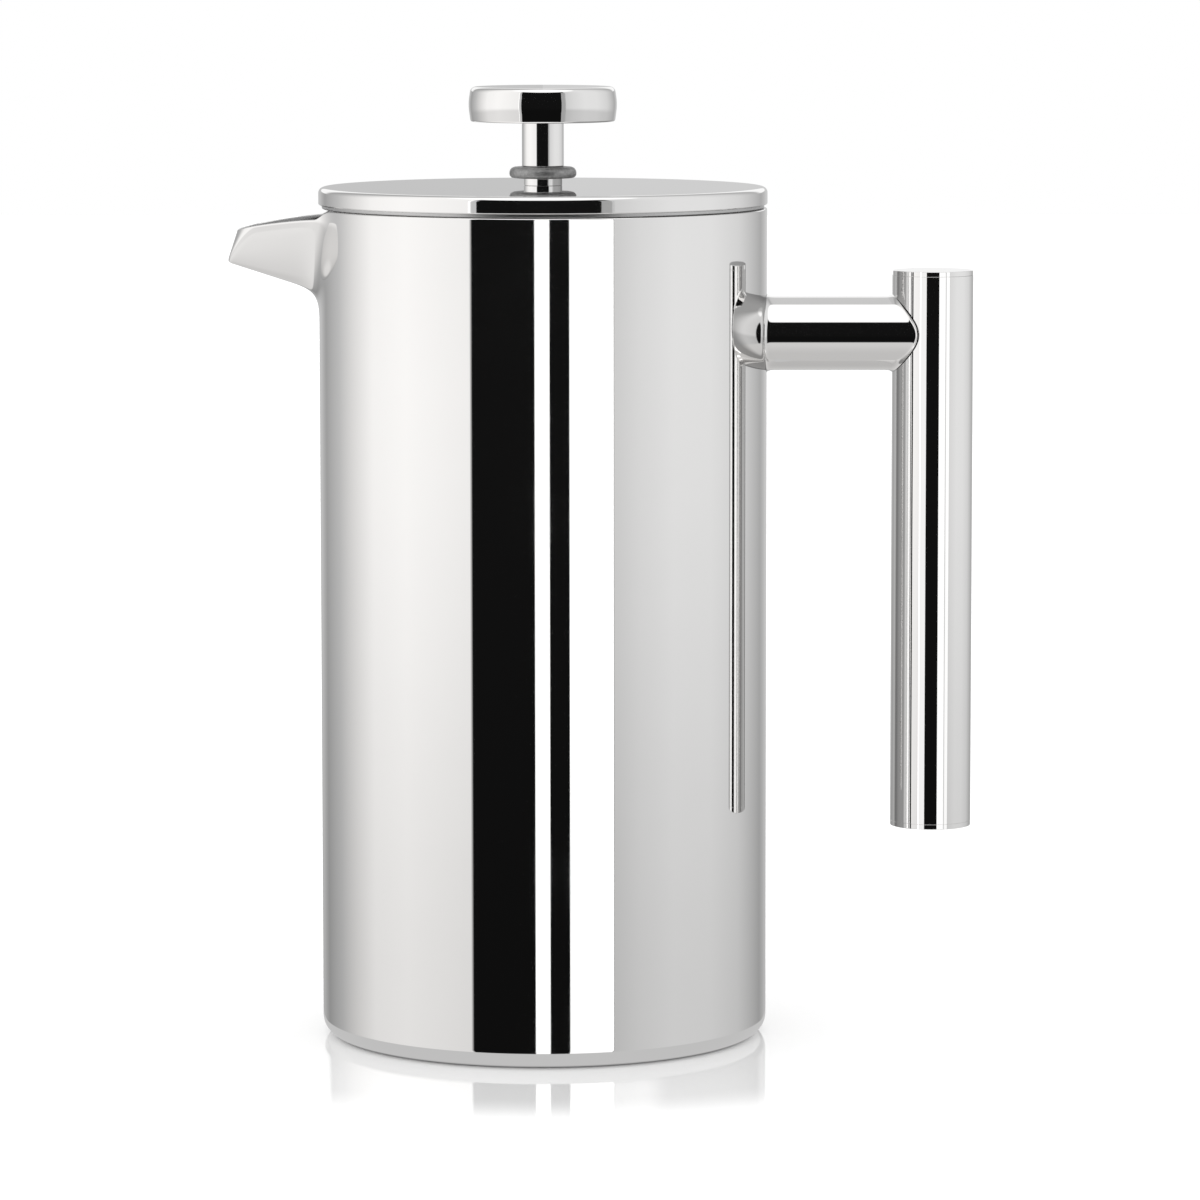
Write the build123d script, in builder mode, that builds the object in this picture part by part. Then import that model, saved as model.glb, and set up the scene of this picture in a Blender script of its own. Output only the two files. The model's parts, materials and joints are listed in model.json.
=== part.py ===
"""One-litre double-walled stainless steel french press.

Frame: millimetres, +Z up, the jug's axis on Z and its foot on Z = 0. The handle points along +X
and the spout along -X. The plunger stands pressed all the way down.
"""

import math
import os

from build123d import *

os.makedirs("parts", exist_ok=True)

# ---------------------------------------------------------------- driving dimensions

JUG_RADIUS = 52.5  # outside of the polished outer wall
RIM_HEIGHT = 195.2  # mouth of the jug above the table
SHELL_WALL = 0.8  # sheet of the outer wall, base and lid
LINER_WALL = 0.6  # sheet of the inner wall
LINER_BORE = 47.4  # inside radius of the brewing chamber
LID_RADIUS = 52.6
LID_TOP = 200.1  # flat of the lid beside its raised centre
ROD_RADIUS = 2.5
RUNNING_GAP = 0.05  # radial clearance of the rod in its guide and threads
KNOB_RADIUS = 17.25
KNOB_TOP = 223.5
GRIP_RADIUS = 9.5  # 19 mm tube
ARM_RADIUS = 8.7
HANDLE_WALL = 1.2
GRIP_AXIS_X = 91.4

# ---------------------------------------------------------------- jug: outer shell and base

BOTTOM_CORNER = 4.3  # outside radius where the wall turns into the foot
FOOT_INNER = 40.0  # the foot ring ends here and the base plate shows inside it
SHELL_INNER = JUG_RADIUS - SHELL_WALL

# Spout: a trough of parabolic section. Its keel and top edge are straight in side view, and its
# plan is a V with a round nose that leans back.
SPOUT_ROOT_X = -52.5
SPOUT_ROOT_TOP = 193.1
SPOUT_ROOT_KEEL = 175.6
SPOUT_ROOT_HALF_WIDTH = 14.9
SPOUT_NOSE_X = -71.5  # front of the nose's top edge
SPOUT_NOSE_TOP = 190.5
SPOUT_NOSE_HALF_WIDTH = 5.3  # where the V's sides would cross the nose's front
SPOUT_TIP_X = -74.1  # foremost point, where the keel meets the nose
SPOUT_TIP_KEEL = 182.5
SPOUT_WALL = 1.0
SPOUT_INNER_X = -38.0  # the form is cut from here, well inside the jug
SPOUT_FLARE = (SPOUT_ROOT_HALF_WIDTH - SPOUT_NOSE_HALF_WIDTH) / (SPOUT_ROOT_X - SPOUT_NOSE_X)
SPOUT_TOP_SLOPE = (SPOUT_ROOT_TOP - SPOUT_NOSE_TOP) / (SPOUT_ROOT_X - SPOUT_NOSE_X)
SPOUT_KEEL_SLOPE = (SPOUT_ROOT_KEEL - SPOUT_TIP_KEEL) / (SPOUT_ROOT_X - SPOUT_TIP_X)
NOSE_LEAN = (SPOUT_NOSE_X - SPOUT_TIP_X) / (SPOUT_NOSE_TOP - SPOUT_TIP_KEEL)


def spout_station(x, inset):
    """Half width, depth and top height of the spout at x, with its walls moved in by inset."""
    along = x - SPOUT_ROOT_X
    half_width = SPOUT_ROOT_HALF_WIDTH + SPOUT_FLARE * along - inset
    top = SPOUT_ROOT_TOP + SPOUT_TOP_SLOPE * along
    keel = SPOUT_ROOT_KEEL + SPOUT_KEEL_SLOPE * along + inset
    return half_width, top - keel, top


def spout_form(inset):
    """Solid inside the spout's surface moved in by inset, from within the jug out to the nose."""
    flank = math.atan(SPOUT_FLARE)
    nose_radius = SPOUT_NOSE_HALF_WIDTH * math.cos(flank) / (1 - math.sin(flank))
    plan_height = 162.7
    plan_depth = 45.0
    nose_centre = SPOUT_NOSE_X + nose_radius - NOSE_LEAN * (SPOUT_NOSE_TOP - plan_height)
    with BuildPart() as form:
        for x in (SPOUT_INNER_X, SPOUT_TIP_X - 1.5):
            half_width, depth, top = spout_station(x, inset)
            with BuildSketch(Plane(origin=(x, 0, top), x_dir=(0, 1, 0), z_dir=(1, 0, 0))):
                with BuildLine():
                    parabola = Bezier((-half_width, 0), (0, -2 * depth), (half_width, 0))
                    Line(parabola @ 1, parabola @ 0)
                make_face()
        loft(ruled=True)
        with BuildSketch(Plane.XY.offset(plan_height)) as plan:
            with Locations((nose_centre, 0)):
                Circle(nose_radius - inset)
            with Locations((nose_centre - (nose_radius - inset) * math.sin(flank), 0)):
                Rectangle(80, 80, align=(Align.MIN, Align.CENTER))
        extrude(plan.sketch, amount=plan_depth, dir=(NOSE_LEAN, 0, 1), mode=Mode.INTERSECT)
    return form.part


def mouth_notch():
    """Prism that clears the jug's rim above the spout."""
    outer_x = -60.0
    notch_floor = 191.7
    inner_half = spout_station(SPOUT_INNER_X, 0)[0]
    outer_half = spout_station(outer_x, 0)[0]
    corners = [
        (SPOUT_INNER_X, inner_half),
        (outer_x, outer_half),
        (outer_x, -outer_half),
        (SPOUT_INNER_X, -inner_half),
    ]
    with BuildPart() as notch:
        with BuildSketch(Plane.XY.offset(notch_floor)):
            Polygon(*corners, align=None)
        extrude(amount=RIM_HEIGHT - notch_floor + 5)
    return notch.part


SPOUT_OUTSIDE = spout_form(0)
SPOUT_INSIDE = spout_form(SPOUT_WALL)
MOUTH_NOTCH = mouth_notch()

with BuildPart() as outer_shell:
    with BuildSketch(Plane.XZ):
        with BuildLine():
            rim = Line((SHELL_INNER, RIM_HEIGHT), (JUG_RADIUS, RIM_HEIGHT))
            wall = Line(rim @ 1, (JUG_RADIUS, BOTTOM_CORNER))
            corner = RadiusArc(wall @ 1, (JUG_RADIUS - BOTTOM_CORNER, 0), BOTTOM_CORNER)
            foot = Line(corner @ 1, (FOOT_INNER, 0))
            lip = Line(foot @ 1, (FOOT_INNER, SHELL_WALL))
            inside = Line(lip @ 1, (JUG_RADIUS - BOTTOM_CORNER, SHELL_WALL))
            inner_corner = RadiusArc(inside @ 1, (SHELL_INNER, BOTTOM_CORNER), -(BOTTOM_CORNER - SHELL_WALL))
            Line(inner_corner @ 1, rim @ 0)
        make_face()
    revolve(axis=Axis.Z)
    add(SPOUT_OUTSIDE, mode=Mode.SUBTRACT)
    add(MOUTH_NOTCH, mode=Mode.SUBTRACT)
outer_shell.part.label = "outer_shell"
export_step(outer_shell.part, "parts/outer_shell.step")

# The base plate laps inside the shell's turned-in foot. A pressed ring stiffens it, and its middle
# lies flush with the foot.
BASE_RADIUS = 43.0
BASE_MIDDLE = 27.0  # radius of the flush middle
BASE_BEAD_INNER = 29.0
BASE_BEAD_OUTER = 35.5
BASE_LAP_INNER = 37.0
BASE_BEAD_RISE = 2.4

with BuildPart() as base_plate:
    with BuildSketch(Plane.XZ):
        with BuildLine():
            Polyline(
                (0, 0),
                (BASE_MIDDLE, 0),
                (BASE_BEAD_INNER, BASE_BEAD_RISE),
                (BASE_BEAD_OUTER, BASE_BEAD_RISE),
                (BASE_LAP_INNER, SHELL_WALL),
                (BASE_RADIUS, SHELL_WALL),
                (BASE_RADIUS, 2 * SHELL_WALL),
                (BASE_LAP_INNER, 2 * SHELL_WALL),
                (BASE_BEAD_OUTER, SHELL_WALL + BASE_BEAD_RISE),
                (BASE_BEAD_INNER, SHELL_WALL + BASE_BEAD_RISE),
                (BASE_MIDDLE, SHELL_WALL),
                (0, SHELL_WALL),
                close=True,
            )
        make_face()
    revolve(axis=Axis.Z)
base_plate.part.label = "base_plate"
export_step(base_plate.part, "parts/base_plate.step")

# ---------------------------------------------------------------- jug: inner liner

LINER_FLOOR = 8.0  # underside of the liner's bottom
LINER_CORNER = 5.0  # inside radius between the liner's floor and wall
LINER_OUTER = LINER_BORE + LINER_WALL
LIP_ROLL = 1.4  # inside radius of the bend from the wall out to the lip

with BuildPart() as inner_liner:
    with BuildSketch(Plane.XZ):
        with BuildLine():
            floor_top = LINER_FLOOR + LINER_WALL
            floor = Line((0, floor_top), (LINER_BORE - LINER_CORNER, floor_top))
            corner = RadiusArc(floor @ 1, (LINER_BORE, floor_top + LINER_CORNER), -LINER_CORNER)
            wall = Line(corner @ 1, (LINER_BORE, RIM_HEIGHT - LIP_ROLL - LINER_WALL))
            roll = RadiusArc(wall @ 1, (LINER_OUTER + LIP_ROLL, RIM_HEIGHT), LIP_ROLL + LINER_WALL)
            lip = Line(roll @ 1, (SHELL_INNER, RIM_HEIGHT))
            edge = Line(lip @ 1, (SHELL_INNER, RIM_HEIGHT - LINER_WALL))
            under = Line(edge @ 1, (LINER_OUTER + LIP_ROLL, RIM_HEIGHT - LINER_WALL))
            back_roll = RadiusArc(under @ 1, (LINER_OUTER, RIM_HEIGHT - LINER_WALL - LIP_ROLL), -LIP_ROLL)
            back = Line(back_roll @ 1, (LINER_OUTER, floor_top + LINER_CORNER))
            back_end = (LINER_BORE - LINER_CORNER, LINER_FLOOR)
            back_corner = RadiusArc(back @ 1, back_end, LINER_CORNER + LINER_WALL)
            Polyline(back_corner @ 1, (0, LINER_FLOOR), (0, floor_top))
        make_face()
    revolve(axis=Axis.Z)
    add(SPOUT_OUTSIDE, mode=Mode.SUBTRACT)
    add(MOUTH_NOTCH, mode=Mode.SUBTRACT)
inner_liner.part.label = "inner_liner"
export_step(inner_liner.part, "parts/inner_liner.step")

# ---------------------------------------------------------------- jug: spout

with BuildPart() as spout:
    add(SPOUT_OUTSIDE)
    add(SPOUT_INSIDE, mode=Mode.SUBTRACT)
    with Locations((0, 0, 150)):
        Cylinder(LINER_BORE, 120, mode=Mode.SUBTRACT)
spout.part.label = "spout"
export_step(spout.part, "parts/spout.step")

# ---------------------------------------------------------------- handle

GRIP_BOTTOM = 49.3
GRIP_TOP = 180.6
ARM_HEIGHT = 165.8
CAP_THICKNESS = 1.2
CAP_EDGE = 0.25

with BuildPart() as handle_grip:
    with BuildSketch(Plane.XY.offset(GRIP_BOTTOM + CAP_THICKNESS)):
        with Locations((GRIP_AXIS_X, 0)):
            Circle(GRIP_RADIUS)
            Circle(GRIP_RADIUS - HANDLE_WALL, mode=Mode.SUBTRACT)
    extrude(amount=GRIP_TOP - GRIP_BOTTOM - 2 * CAP_THICKNESS)
handle_grip.part.label = "handle_grip"
export_step(handle_grip.part, "parts/handle_grip.step")

with BuildPart() as handle_cap_top:
    with BuildSketch(Plane.XY.offset(GRIP_TOP - CAP_THICKNESS)):
        with Locations((GRIP_AXIS_X, 0)):
            Circle(GRIP_RADIUS)
    extrude(amount=CAP_THICKNESS)
    chamfer(handle_cap_top.faces().sort_by(Axis.Z)[-1].edges(), CAP_EDGE)
handle_cap_top.part.label = "handle_cap_top"
export_step(handle_cap_top.part, "parts/handle_cap_top.step")

with BuildPart() as handle_cap_bottom:
    with BuildSketch(Plane.XY.offset(GRIP_BOTTOM)):
        with Locations((GRIP_AXIS_X, 0)):
            Circle(GRIP_RADIUS)
    extrude(amount=CAP_THICKNESS)
    chamfer(handle_cap_bottom.faces().sort_by(Axis.Z)[0].edges(), CAP_EDGE)
handle_cap_bottom.part.label = "handle_cap_bottom"
export_step(handle_cap_bottom.part, "parts/handle_cap_bottom.step")

# The arm is a tube whose ends are coped to the jug's wall and to the grip.
with BuildPart() as handle_arm:
    with BuildSketch(Plane(origin=(JUG_RADIUS - 5, 0, ARM_HEIGHT), z_dir=(1, 0, 0))):
        Circle(ARM_RADIUS)
        Circle(ARM_RADIUS - HANDLE_WALL, mode=Mode.SUBTRACT)
    extrude(amount=GRIP_AXIS_X - JUG_RADIUS + 5)
    with Locations((0, 0, ARM_HEIGHT)):
        Cylinder(JUG_RADIUS, 4 * ARM_RADIUS, mode=Mode.SUBTRACT)
    with Locations((GRIP_AXIS_X, 0, ARM_HEIGHT)):
        Cylinder(GRIP_RADIUS, 4 * ARM_RADIUS, mode=Mode.SUBTRACT)
handle_arm.part.label = "handle_arm"
export_step(handle_arm.part, "parts/handle_arm.step")

# A curved plate spot-welded inside the outer wall spreads the handle's load over the thin sheet.
BACKING_HEIGHT = 44.0
BACKING_WIDTH = 34.0
BACKING_WALL = 1.0

with BuildPart() as handle_backing_plate:
    with BuildSketch(Plane.XY.offset(ARM_HEIGHT - BACKING_HEIGHT / 2)):
        Circle(SHELL_INNER)
        Circle(SHELL_INNER - BACKING_WALL, mode=Mode.SUBTRACT)
        with Locations((SHELL_INNER, 0)):
            Rectangle(2 * SHELL_INNER, BACKING_WIDTH, mode=Mode.INTERSECT)
    extrude(amount=BACKING_HEIGHT)
handle_backing_plate.part.label = "handle_backing_plate"
export_step(handle_backing_plate.part, "parts/handle_backing_plate.step")

# ---------------------------------------------------------------- lid

LID_SKIRT_BOTTOM = 196.1  # lower edge of the lid's polished rim
LID_EDGE_RADIUS = 1.6
LID_INNER = LID_RADIUS - SHELL_WALL
BOSS_RADIUS = 7.85  # collar of the rod guide
NECK_RADIUS = 4.5  # the guide between its collar and the lid
LID_CROWN = 0.35  # the lid's top rises this much to a flat middle
CROWN_RADIUS = 13.0
BOSS_BOTTOM = 202.2
BOSS_TOP = 204.8
GUIDE_SHANK = 4.1
PAN_SKIRT_RADIUS = 46.9
PAN_BOTTOM = 185.2

with BuildPart() as lid_cap:
    with BuildSketch(Plane.XZ):
        with BuildLine():
            middle = Line((GUIDE_SHANK, LID_TOP + LID_CROWN), (CROWN_RADIUS, LID_TOP + LID_CROWN))
            deck = Line(middle @ 1, (LID_RADIUS - LID_EDGE_RADIUS, LID_TOP))
            edge = RadiusArc(deck @ 1, (LID_RADIUS, LID_TOP - LID_EDGE_RADIUS), LID_EDGE_RADIUS)
            skirt = Line(edge @ 1, (LID_RADIUS, LID_SKIRT_BOTTOM))
            hem = Line(skirt @ 1, (LID_INNER, LID_SKIRT_BOTTOM))
            back = Line(hem @ 1, (LID_INNER, LID_TOP - LID_EDGE_RADIUS))
            turn = RadiusArc(
                back @ 1,
                (LID_RADIUS - LID_EDGE_RADIUS, LID_TOP - SHELL_WALL),
                -(LID_EDGE_RADIUS - SHELL_WALL),
            )
            under = Line(turn @ 1, (CROWN_RADIUS, LID_TOP + LID_CROWN - SHELL_WALL))
            Polyline(under @ 1, (GUIDE_SHANK, LID_TOP + LID_CROWN - SHELL_WALL), middle @ 0)
        make_face()
    revolve(axis=Axis.Z)
lid_cap.part.label = "lid_cap"
export_step(lid_cap.part, "parts/lid_cap.step")

# The pan stands on the jug's rim, fits inside its mouth, and carries the rod guide's lower end.
PAN_UPSTAND = 3.0

with BuildPart() as lid_pan:
    with BuildSketch(Plane.XZ):
        with BuildLine():
            Polyline(
                (GUIDE_SHANK, PAN_BOTTOM),
                (PAN_SKIRT_RADIUS, PAN_BOTTOM),
                (PAN_SKIRT_RADIUS, RIM_HEIGHT),
                (LID_INNER, RIM_HEIGHT),
                (LID_INNER, RIM_HEIGHT + PAN_UPSTAND),
                (LID_INNER - LINER_WALL, RIM_HEIGHT + PAN_UPSTAND),
                (LID_INNER - LINER_WALL, RIM_HEIGHT + LINER_WALL),
                (PAN_SKIRT_RADIUS - LINER_WALL, RIM_HEIGHT + LINER_WALL),
                (PAN_SKIRT_RADIUS - LINER_WALL, PAN_BOTTOM + LINER_WALL),
                (GUIDE_SHANK, PAN_BOTTOM + LINER_WALL),
                close=True,
            )
        make_face()
    revolve(axis=Axis.Z)
    pan_circles = lid_pan.edges().filter_by(GeomType.CIRCLE)
    pan_corner = pan_circles.filter_by_position(Axis.Z, PAN_BOTTOM, PAN_BOTTOM)
    fillet(pan_corner.sort_by(SortBy.RADIUS)[-1], 0.5)
lid_pan.part.label = "lid_pan"
export_step(lid_pan.part, "parts/lid_pan.step")

GUIDE_LENGTH_BELOW_PAN = 3.9
GUIDE_BOTTOM = PAN_BOTTOM - GUIDE_LENGTH_BELOW_PAN
BUSH_RADIUS = 3.25
BUSH_BORE = ROD_RADIUS + RUNNING_GAP
GUIDE_BORE = BUSH_RADIUS + RUNNING_GAP

with BuildPart() as rod_guide:
    with Locations((0, 0, GUIDE_BOTTOM)):
        Cylinder(GUIDE_SHANK, BOSS_BOTTOM - GUIDE_BOTTOM, align=(Align.CENTER, Align.CENTER, Align.MIN))
    with Locations((0, 0, LID_TOP + LID_CROWN)):
        neck_height = BOSS_BOTTOM - LID_TOP - LID_CROWN
        Cylinder(NECK_RADIUS, neck_height, align=(Align.CENTER, Align.CENTER, Align.MIN))
    with Locations((0, 0, BOSS_BOTTOM)):
        Cylinder(BOSS_RADIUS, BOSS_TOP - BOSS_BOTTOM, align=(Align.CENTER, Align.CENTER, Align.MIN))
    fillet(rod_guide.faces().sort_by(Axis.Z)[-1].edges(), 1.4)
    guide_circles = rod_guide.edges().filter_by(GeomType.CIRCLE)
    collar_foot = guide_circles.filter_by_position(Axis.Z, BOSS_BOTTOM, BOSS_BOTTOM)
    fillet(collar_foot.sort_by(SortBy.RADIUS)[-1], 1.0)
    with Locations((0, 0, BOSS_TOP)):
        Hole(GUIDE_BORE)
rod_guide.part.label = "rod_guide"
export_step(rod_guide.part, "parts/rod_guide.step")

# A plastic bush lines the guide. It runs on the rod, and it can turn with the rod in the guide.
BUSH_TOP = BOSS_TOP - 0.5
BUSH_FLANGE_RADIUS = 5.0
BUSH_FLANGE_TOP = GUIDE_BOTTOM - 0.1
BUSH_FLANGE = 0.8

with BuildPart() as guide_bush:
    with BuildSketch(Plane.XY.offset(BUSH_FLANGE_TOP - BUSH_FLANGE)):
        Circle(BUSH_FLANGE_RADIUS)
        Circle(BUSH_BORE, mode=Mode.SUBTRACT)
    extrude(amount=BUSH_FLANGE)
    with BuildSketch(Plane.XY.offset(BUSH_FLANGE_TOP)):
        Circle(BUSH_RADIUS)
        Circle(BUSH_BORE, mode=Mode.SUBTRACT)
    extrude(amount=BUSH_TOP - BUSH_FLANGE_TOP)
guide_bush.part.label = "guide_bush"
export_step(guide_bush.part, "parts/guide_bush.step")

WASHER_THICKNESS = 0.6

with BuildPart() as guide_washer:
    with BuildSketch(Plane.XY.offset(PAN_BOTTOM - WASHER_THICKNESS)):
        Circle(9.0)
        Circle(GUIDE_SHANK, mode=Mode.SUBTRACT)
    extrude(amount=WASHER_THICKNESS)
guide_washer.part.label = "guide_washer"
export_step(guide_washer.part, "parts/guide_washer.step")

NUT_TOP = PAN_BOTTOM - WASHER_THICKNESS

with BuildPart() as guide_nut:
    with BuildSketch(Plane.XY.offset(GUIDE_BOTTOM + 0.3)):
        RegularPolygon(8.0, 6, major_radius=False)
        Circle(GUIDE_SHANK, mode=Mode.SUBTRACT)
    extrude(amount=NUT_TOP - GUIDE_BOTTOM - 0.3)
guide_nut.part.label = "guide_nut"
export_step(guide_nut.part, "parts/guide_nut.step")

# ---------------------------------------------------------------- plunger rod and knob

ROD_BOTTOM = 12.5
ROD_TOP = 220.0
STEM_RADIUS = 4.9
KNOB_BOTTOM = 215.4
KNOB_WALL = 1.0
KNOB_EDGE = 1.3
THREAD_BORE = ROD_RADIUS + RUNNING_GAP

with BuildPart() as plunger_rod:
    with Locations((0, 0, ROD_BOTTOM)):
        Cylinder(ROD_RADIUS, ROD_TOP - ROD_BOTTOM, align=(Align.CENTER, Align.CENTER, Align.MIN))
    chamfer(plunger_rod.edges().filter_by(GeomType.CIRCLE), 0.4)
plunger_rod.part.label = "plunger_rod"
export_step(plunger_rod.part, "parts/plunger_rod.step")

with BuildPart() as knob_cap:
    with BuildSketch(Plane.XY.offset(KNOB_BOTTOM)):
        Circle(KNOB_RADIUS)
    extrude(amount=KNOB_TOP - KNOB_BOTTOM)
    fillet(knob_cap.faces().sort_by(Axis.Z)[-1].edges(), KNOB_EDGE)
    fillet(knob_cap.faces().sort_by(Axis.Z)[0].edges(), 0.5)
    with BuildSketch(Plane.XY.offset(KNOB_BOTTOM)):
        Circle(KNOB_RADIUS - KNOB_WALL)
    extrude(amount=KNOB_TOP - KNOB_BOTTOM - KNOB_WALL, mode=Mode.SUBTRACT)
knob_cap.part.label = "knob_cap"
export_step(knob_cap.part, "parts/knob_cap.step")

with BuildPart() as knob_base:
    with BuildSketch(Plane.XY.offset(KNOB_BOTTOM)):
        Circle(KNOB_RADIUS - KNOB_WALL)
        Circle(THREAD_BORE, mode=Mode.SUBTRACT)
    extrude(amount=KNOB_WALL)
knob_base.part.label = "knob_base"
export_step(knob_base.part, "parts/knob_base.step")

with BuildPart() as knob_stem:
    with BuildSketch(Plane.XY.offset(BOSS_TOP)):
        Circle(STEM_RADIUS)
        Circle(THREAD_BORE, mode=Mode.SUBTRACT)
    extrude(amount=KNOB_BOTTOM - BOSS_TOP)
    stem_foot = knob_stem.faces().sort_by(Axis.Z)[0].edges().sort_by(SortBy.RADIUS)[-1]
    fillet(stem_foot, 0.3)
knob_stem.part.label = "knob_stem"
export_step(knob_stem.part, "parts/knob_stem.step")

KNOB_NUT_HEIGHT = 4.0

with BuildPart() as knob_nut:
    with BuildSketch(Plane.XY.offset(KNOB_BOTTOM + KNOB_WALL)):
        RegularPolygon(4.5, 6, major_radius=False)
        Circle(THREAD_BORE, mode=Mode.SUBTRACT)
    extrude(amount=KNOB_NUT_HEIGHT)
knob_nut.part.label = "knob_nut"
export_step(knob_nut.part, "parts/knob_nut.step")

# ---------------------------------------------------------------- filter stack

CROSS_PLATE_Z = 12.0
CROSS_PLATE_WALL = 1.0
CROSS_PLATE_RADIUS = 41.0
HUB_RADIUS = 5.0
HUB_TOP = 18.0
MESH_WALL = 0.4
MESH_RADIUS = 47.0
MESH_UPSTAND = 4.6
SPRING_MINOR = 1.9  # outside of the coil's turns
SPIRAL_WALL = 0.8
SPIRAL_RADIUS = 42.6

MESH_Z = CROSS_PLATE_Z + CROSS_PLATE_WALL
SPIRAL_Z = MESH_Z + MESH_WALL
SPRING_MAJOR = MESH_RADIUS - MESH_WALL - SPRING_MINOR

PETALS = 6
PETAL_INNER = 11.0
PETAL_OUTER = 34.0
PETAL_SWEEP = 42.0  # degrees covered by each opening of the cross plate
CROSS_RIM_HEIGHT = 1.4


def ring_sector(inner, outer, sweep, middle):
    """Sketch of a ring sector with round corners, centred on the angle middle, in degrees."""
    half = math.radians(sweep / 2)
    turn = math.radians(middle)

    def at(radius, angle):
        return (radius * math.cos(turn + angle), radius * math.sin(turn + angle))

    with BuildSketch(mode=Mode.PRIVATE) as sector:
        with BuildLine():
            near = ThreePointArc(at(inner, -half), at(inner, 0), at(inner, half))
            side = Line(near @ 1, at(outer, half))
            far = ThreePointArc(side @ 1, at(outer, 0), at(outer, -half))
            Line(far @ 1, near @ 0)
        make_face()
        fillet(sector.vertices(), (outer - inner) / 8)
    return sector.sketch


with BuildPart() as cross_plate:
    with BuildSketch(Plane.XY.offset(CROSS_PLATE_Z)):
        Circle(CROSS_PLATE_RADIUS)
        Circle(HUB_RADIUS, mode=Mode.SUBTRACT)
        for step in range(PETALS):
            add(ring_sector(PETAL_INNER, PETAL_OUTER, PETAL_SWEEP, step * 360 / PETALS), mode=Mode.SUBTRACT)
    extrude(amount=CROSS_PLATE_WALL)
    with BuildSketch(Plane.XY.offset(CROSS_PLATE_Z - CROSS_RIM_HEIGHT)):
        Circle(CROSS_PLATE_RADIUS)
        Circle(CROSS_PLATE_RADIUS - CROSS_PLATE_WALL, mode=Mode.SUBTRACT)
    extrude(amount=CROSS_RIM_HEIGHT)
cross_plate.part.label = "cross_plate"
export_step(cross_plate.part, "parts/cross_plate.step")

# The hub is riveted in the cross plate and screws onto the rod's lower end, which clamps the stack.
HUB_FLANGE_RADIUS = 7.0
HUB_FLANGE = 0.9

with BuildPart() as cross_hub:
    with Locations((0, 0, CROSS_PLATE_Z)):
        Cylinder(HUB_RADIUS, HUB_TOP - CROSS_PLATE_Z, align=(Align.CENTER, Align.CENTER, Align.MIN))
        Cylinder(HUB_FLANGE_RADIUS, HUB_FLANGE, align=(Align.CENTER, Align.CENTER, Align.MAX))
    with BuildSketch(Plane.XY.offset(CROSS_PLATE_Z + 0.2)):
        Circle(THREAD_BORE)
    extrude(amount=HUB_TOP - CROSS_PLATE_Z, mode=Mode.SUBTRACT)
    chamfer(cross_hub.faces().sort_by(Axis.Z)[0].edges(), 0.4)
cross_hub.part.label = "cross_hub"
export_step(cross_hub.part, "parts/cross_hub.step")

# The woven screen is one thin dish: its edge turns up round the outside of the edge spring.
with BuildPart() as mesh_screen:
    with BuildSketch(Plane.XY.offset(MESH_Z)):
        Circle(MESH_RADIUS)
        Circle(HUB_RADIUS, mode=Mode.SUBTRACT)
    extrude(amount=MESH_WALL)
    with BuildSketch(Plane.XY.offset(MESH_Z)):
        Circle(MESH_RADIUS)
        Circle(MESH_RADIUS - MESH_WALL, mode=Mode.SUBTRACT)
    extrude(amount=MESH_UPSTAND)
mesh_screen.part.label = "mesh_screen"
export_step(mesh_screen.part, "parts/mesh_screen.step")

# The edge spring is a coil of fine wire bent into a ring. This solid is the shape of its outside.
with BuildPart() as edge_spring:
    with Locations((0, 0, SPIRAL_Z + SPRING_MINOR)):
        Torus(SPRING_MAJOR, SPRING_MINOR)
edge_spring.part.label = "edge_spring"
export_step(edge_spring.part, "parts/edge_spring.step")

SPIRAL_RIM_RISE = 1.5
SPIRAL_FLAT = 36.0
DRAIN_HOLES = 12
DRAIN_CIRCLE = 25.0
DRAIN_RADIUS = 3.4

with BuildPart() as spiral_plate:
    with BuildSketch(Plane.XZ):
        with BuildLine():
            Polyline(
                (HUB_RADIUS, SPIRAL_Z),
                (SPIRAL_FLAT, SPIRAL_Z),
                (SPIRAL_FLAT + 2, SPIRAL_Z + SPIRAL_RIM_RISE),
                (SPIRAL_RADIUS, SPIRAL_Z + SPIRAL_RIM_RISE),
                (SPIRAL_RADIUS, SPIRAL_Z + SPIRAL_RIM_RISE + SPIRAL_WALL),
                (SPIRAL_FLAT + 1.6, SPIRAL_Z + SPIRAL_RIM_RISE + SPIRAL_WALL),
                (SPIRAL_FLAT - 0.4, SPIRAL_Z + SPIRAL_WALL),
                (HUB_RADIUS, SPIRAL_Z + SPIRAL_WALL),
                close=True,
            )
        make_face()
    revolve(axis=Axis.Z)
    with Locations((0, 0, SPIRAL_Z)):
        with PolarLocations(DRAIN_CIRCLE, DRAIN_HOLES):
            Cylinder(DRAIN_RADIUS, 4 * SPIRAL_WALL, mode=Mode.SUBTRACT)
        with PolarLocations(DRAIN_CIRCLE / 2, DRAIN_HOLES // 2):
            Cylinder(DRAIN_RADIUS * 0.8, 4 * SPIRAL_WALL, mode=Mode.SUBTRACT)
spiral_plate.part.label = "spiral_plate"
export_step(spiral_plate.part, "parts/spiral_plate.step")

# A lock nut on the rod stops the hub from creeping up its thread.
LOCK_NUT_GAP = 0.3
LOCK_NUT_HEIGHT = 4.0

with BuildPart() as rod_lock_nut:
    with BuildSketch(Plane.XY.offset(HUB_TOP + LOCK_NUT_GAP)):
        RegularPolygon(4.0, 6, major_radius=False)
        Circle(ROD_RADIUS, mode=Mode.SUBTRACT)
    extrude(amount=LOCK_NUT_HEIGHT)
rod_lock_nut.part.label = "rod_lock_nut"
export_step(rod_lock_nut.part, "parts/rod_lock_nut.step")
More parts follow.
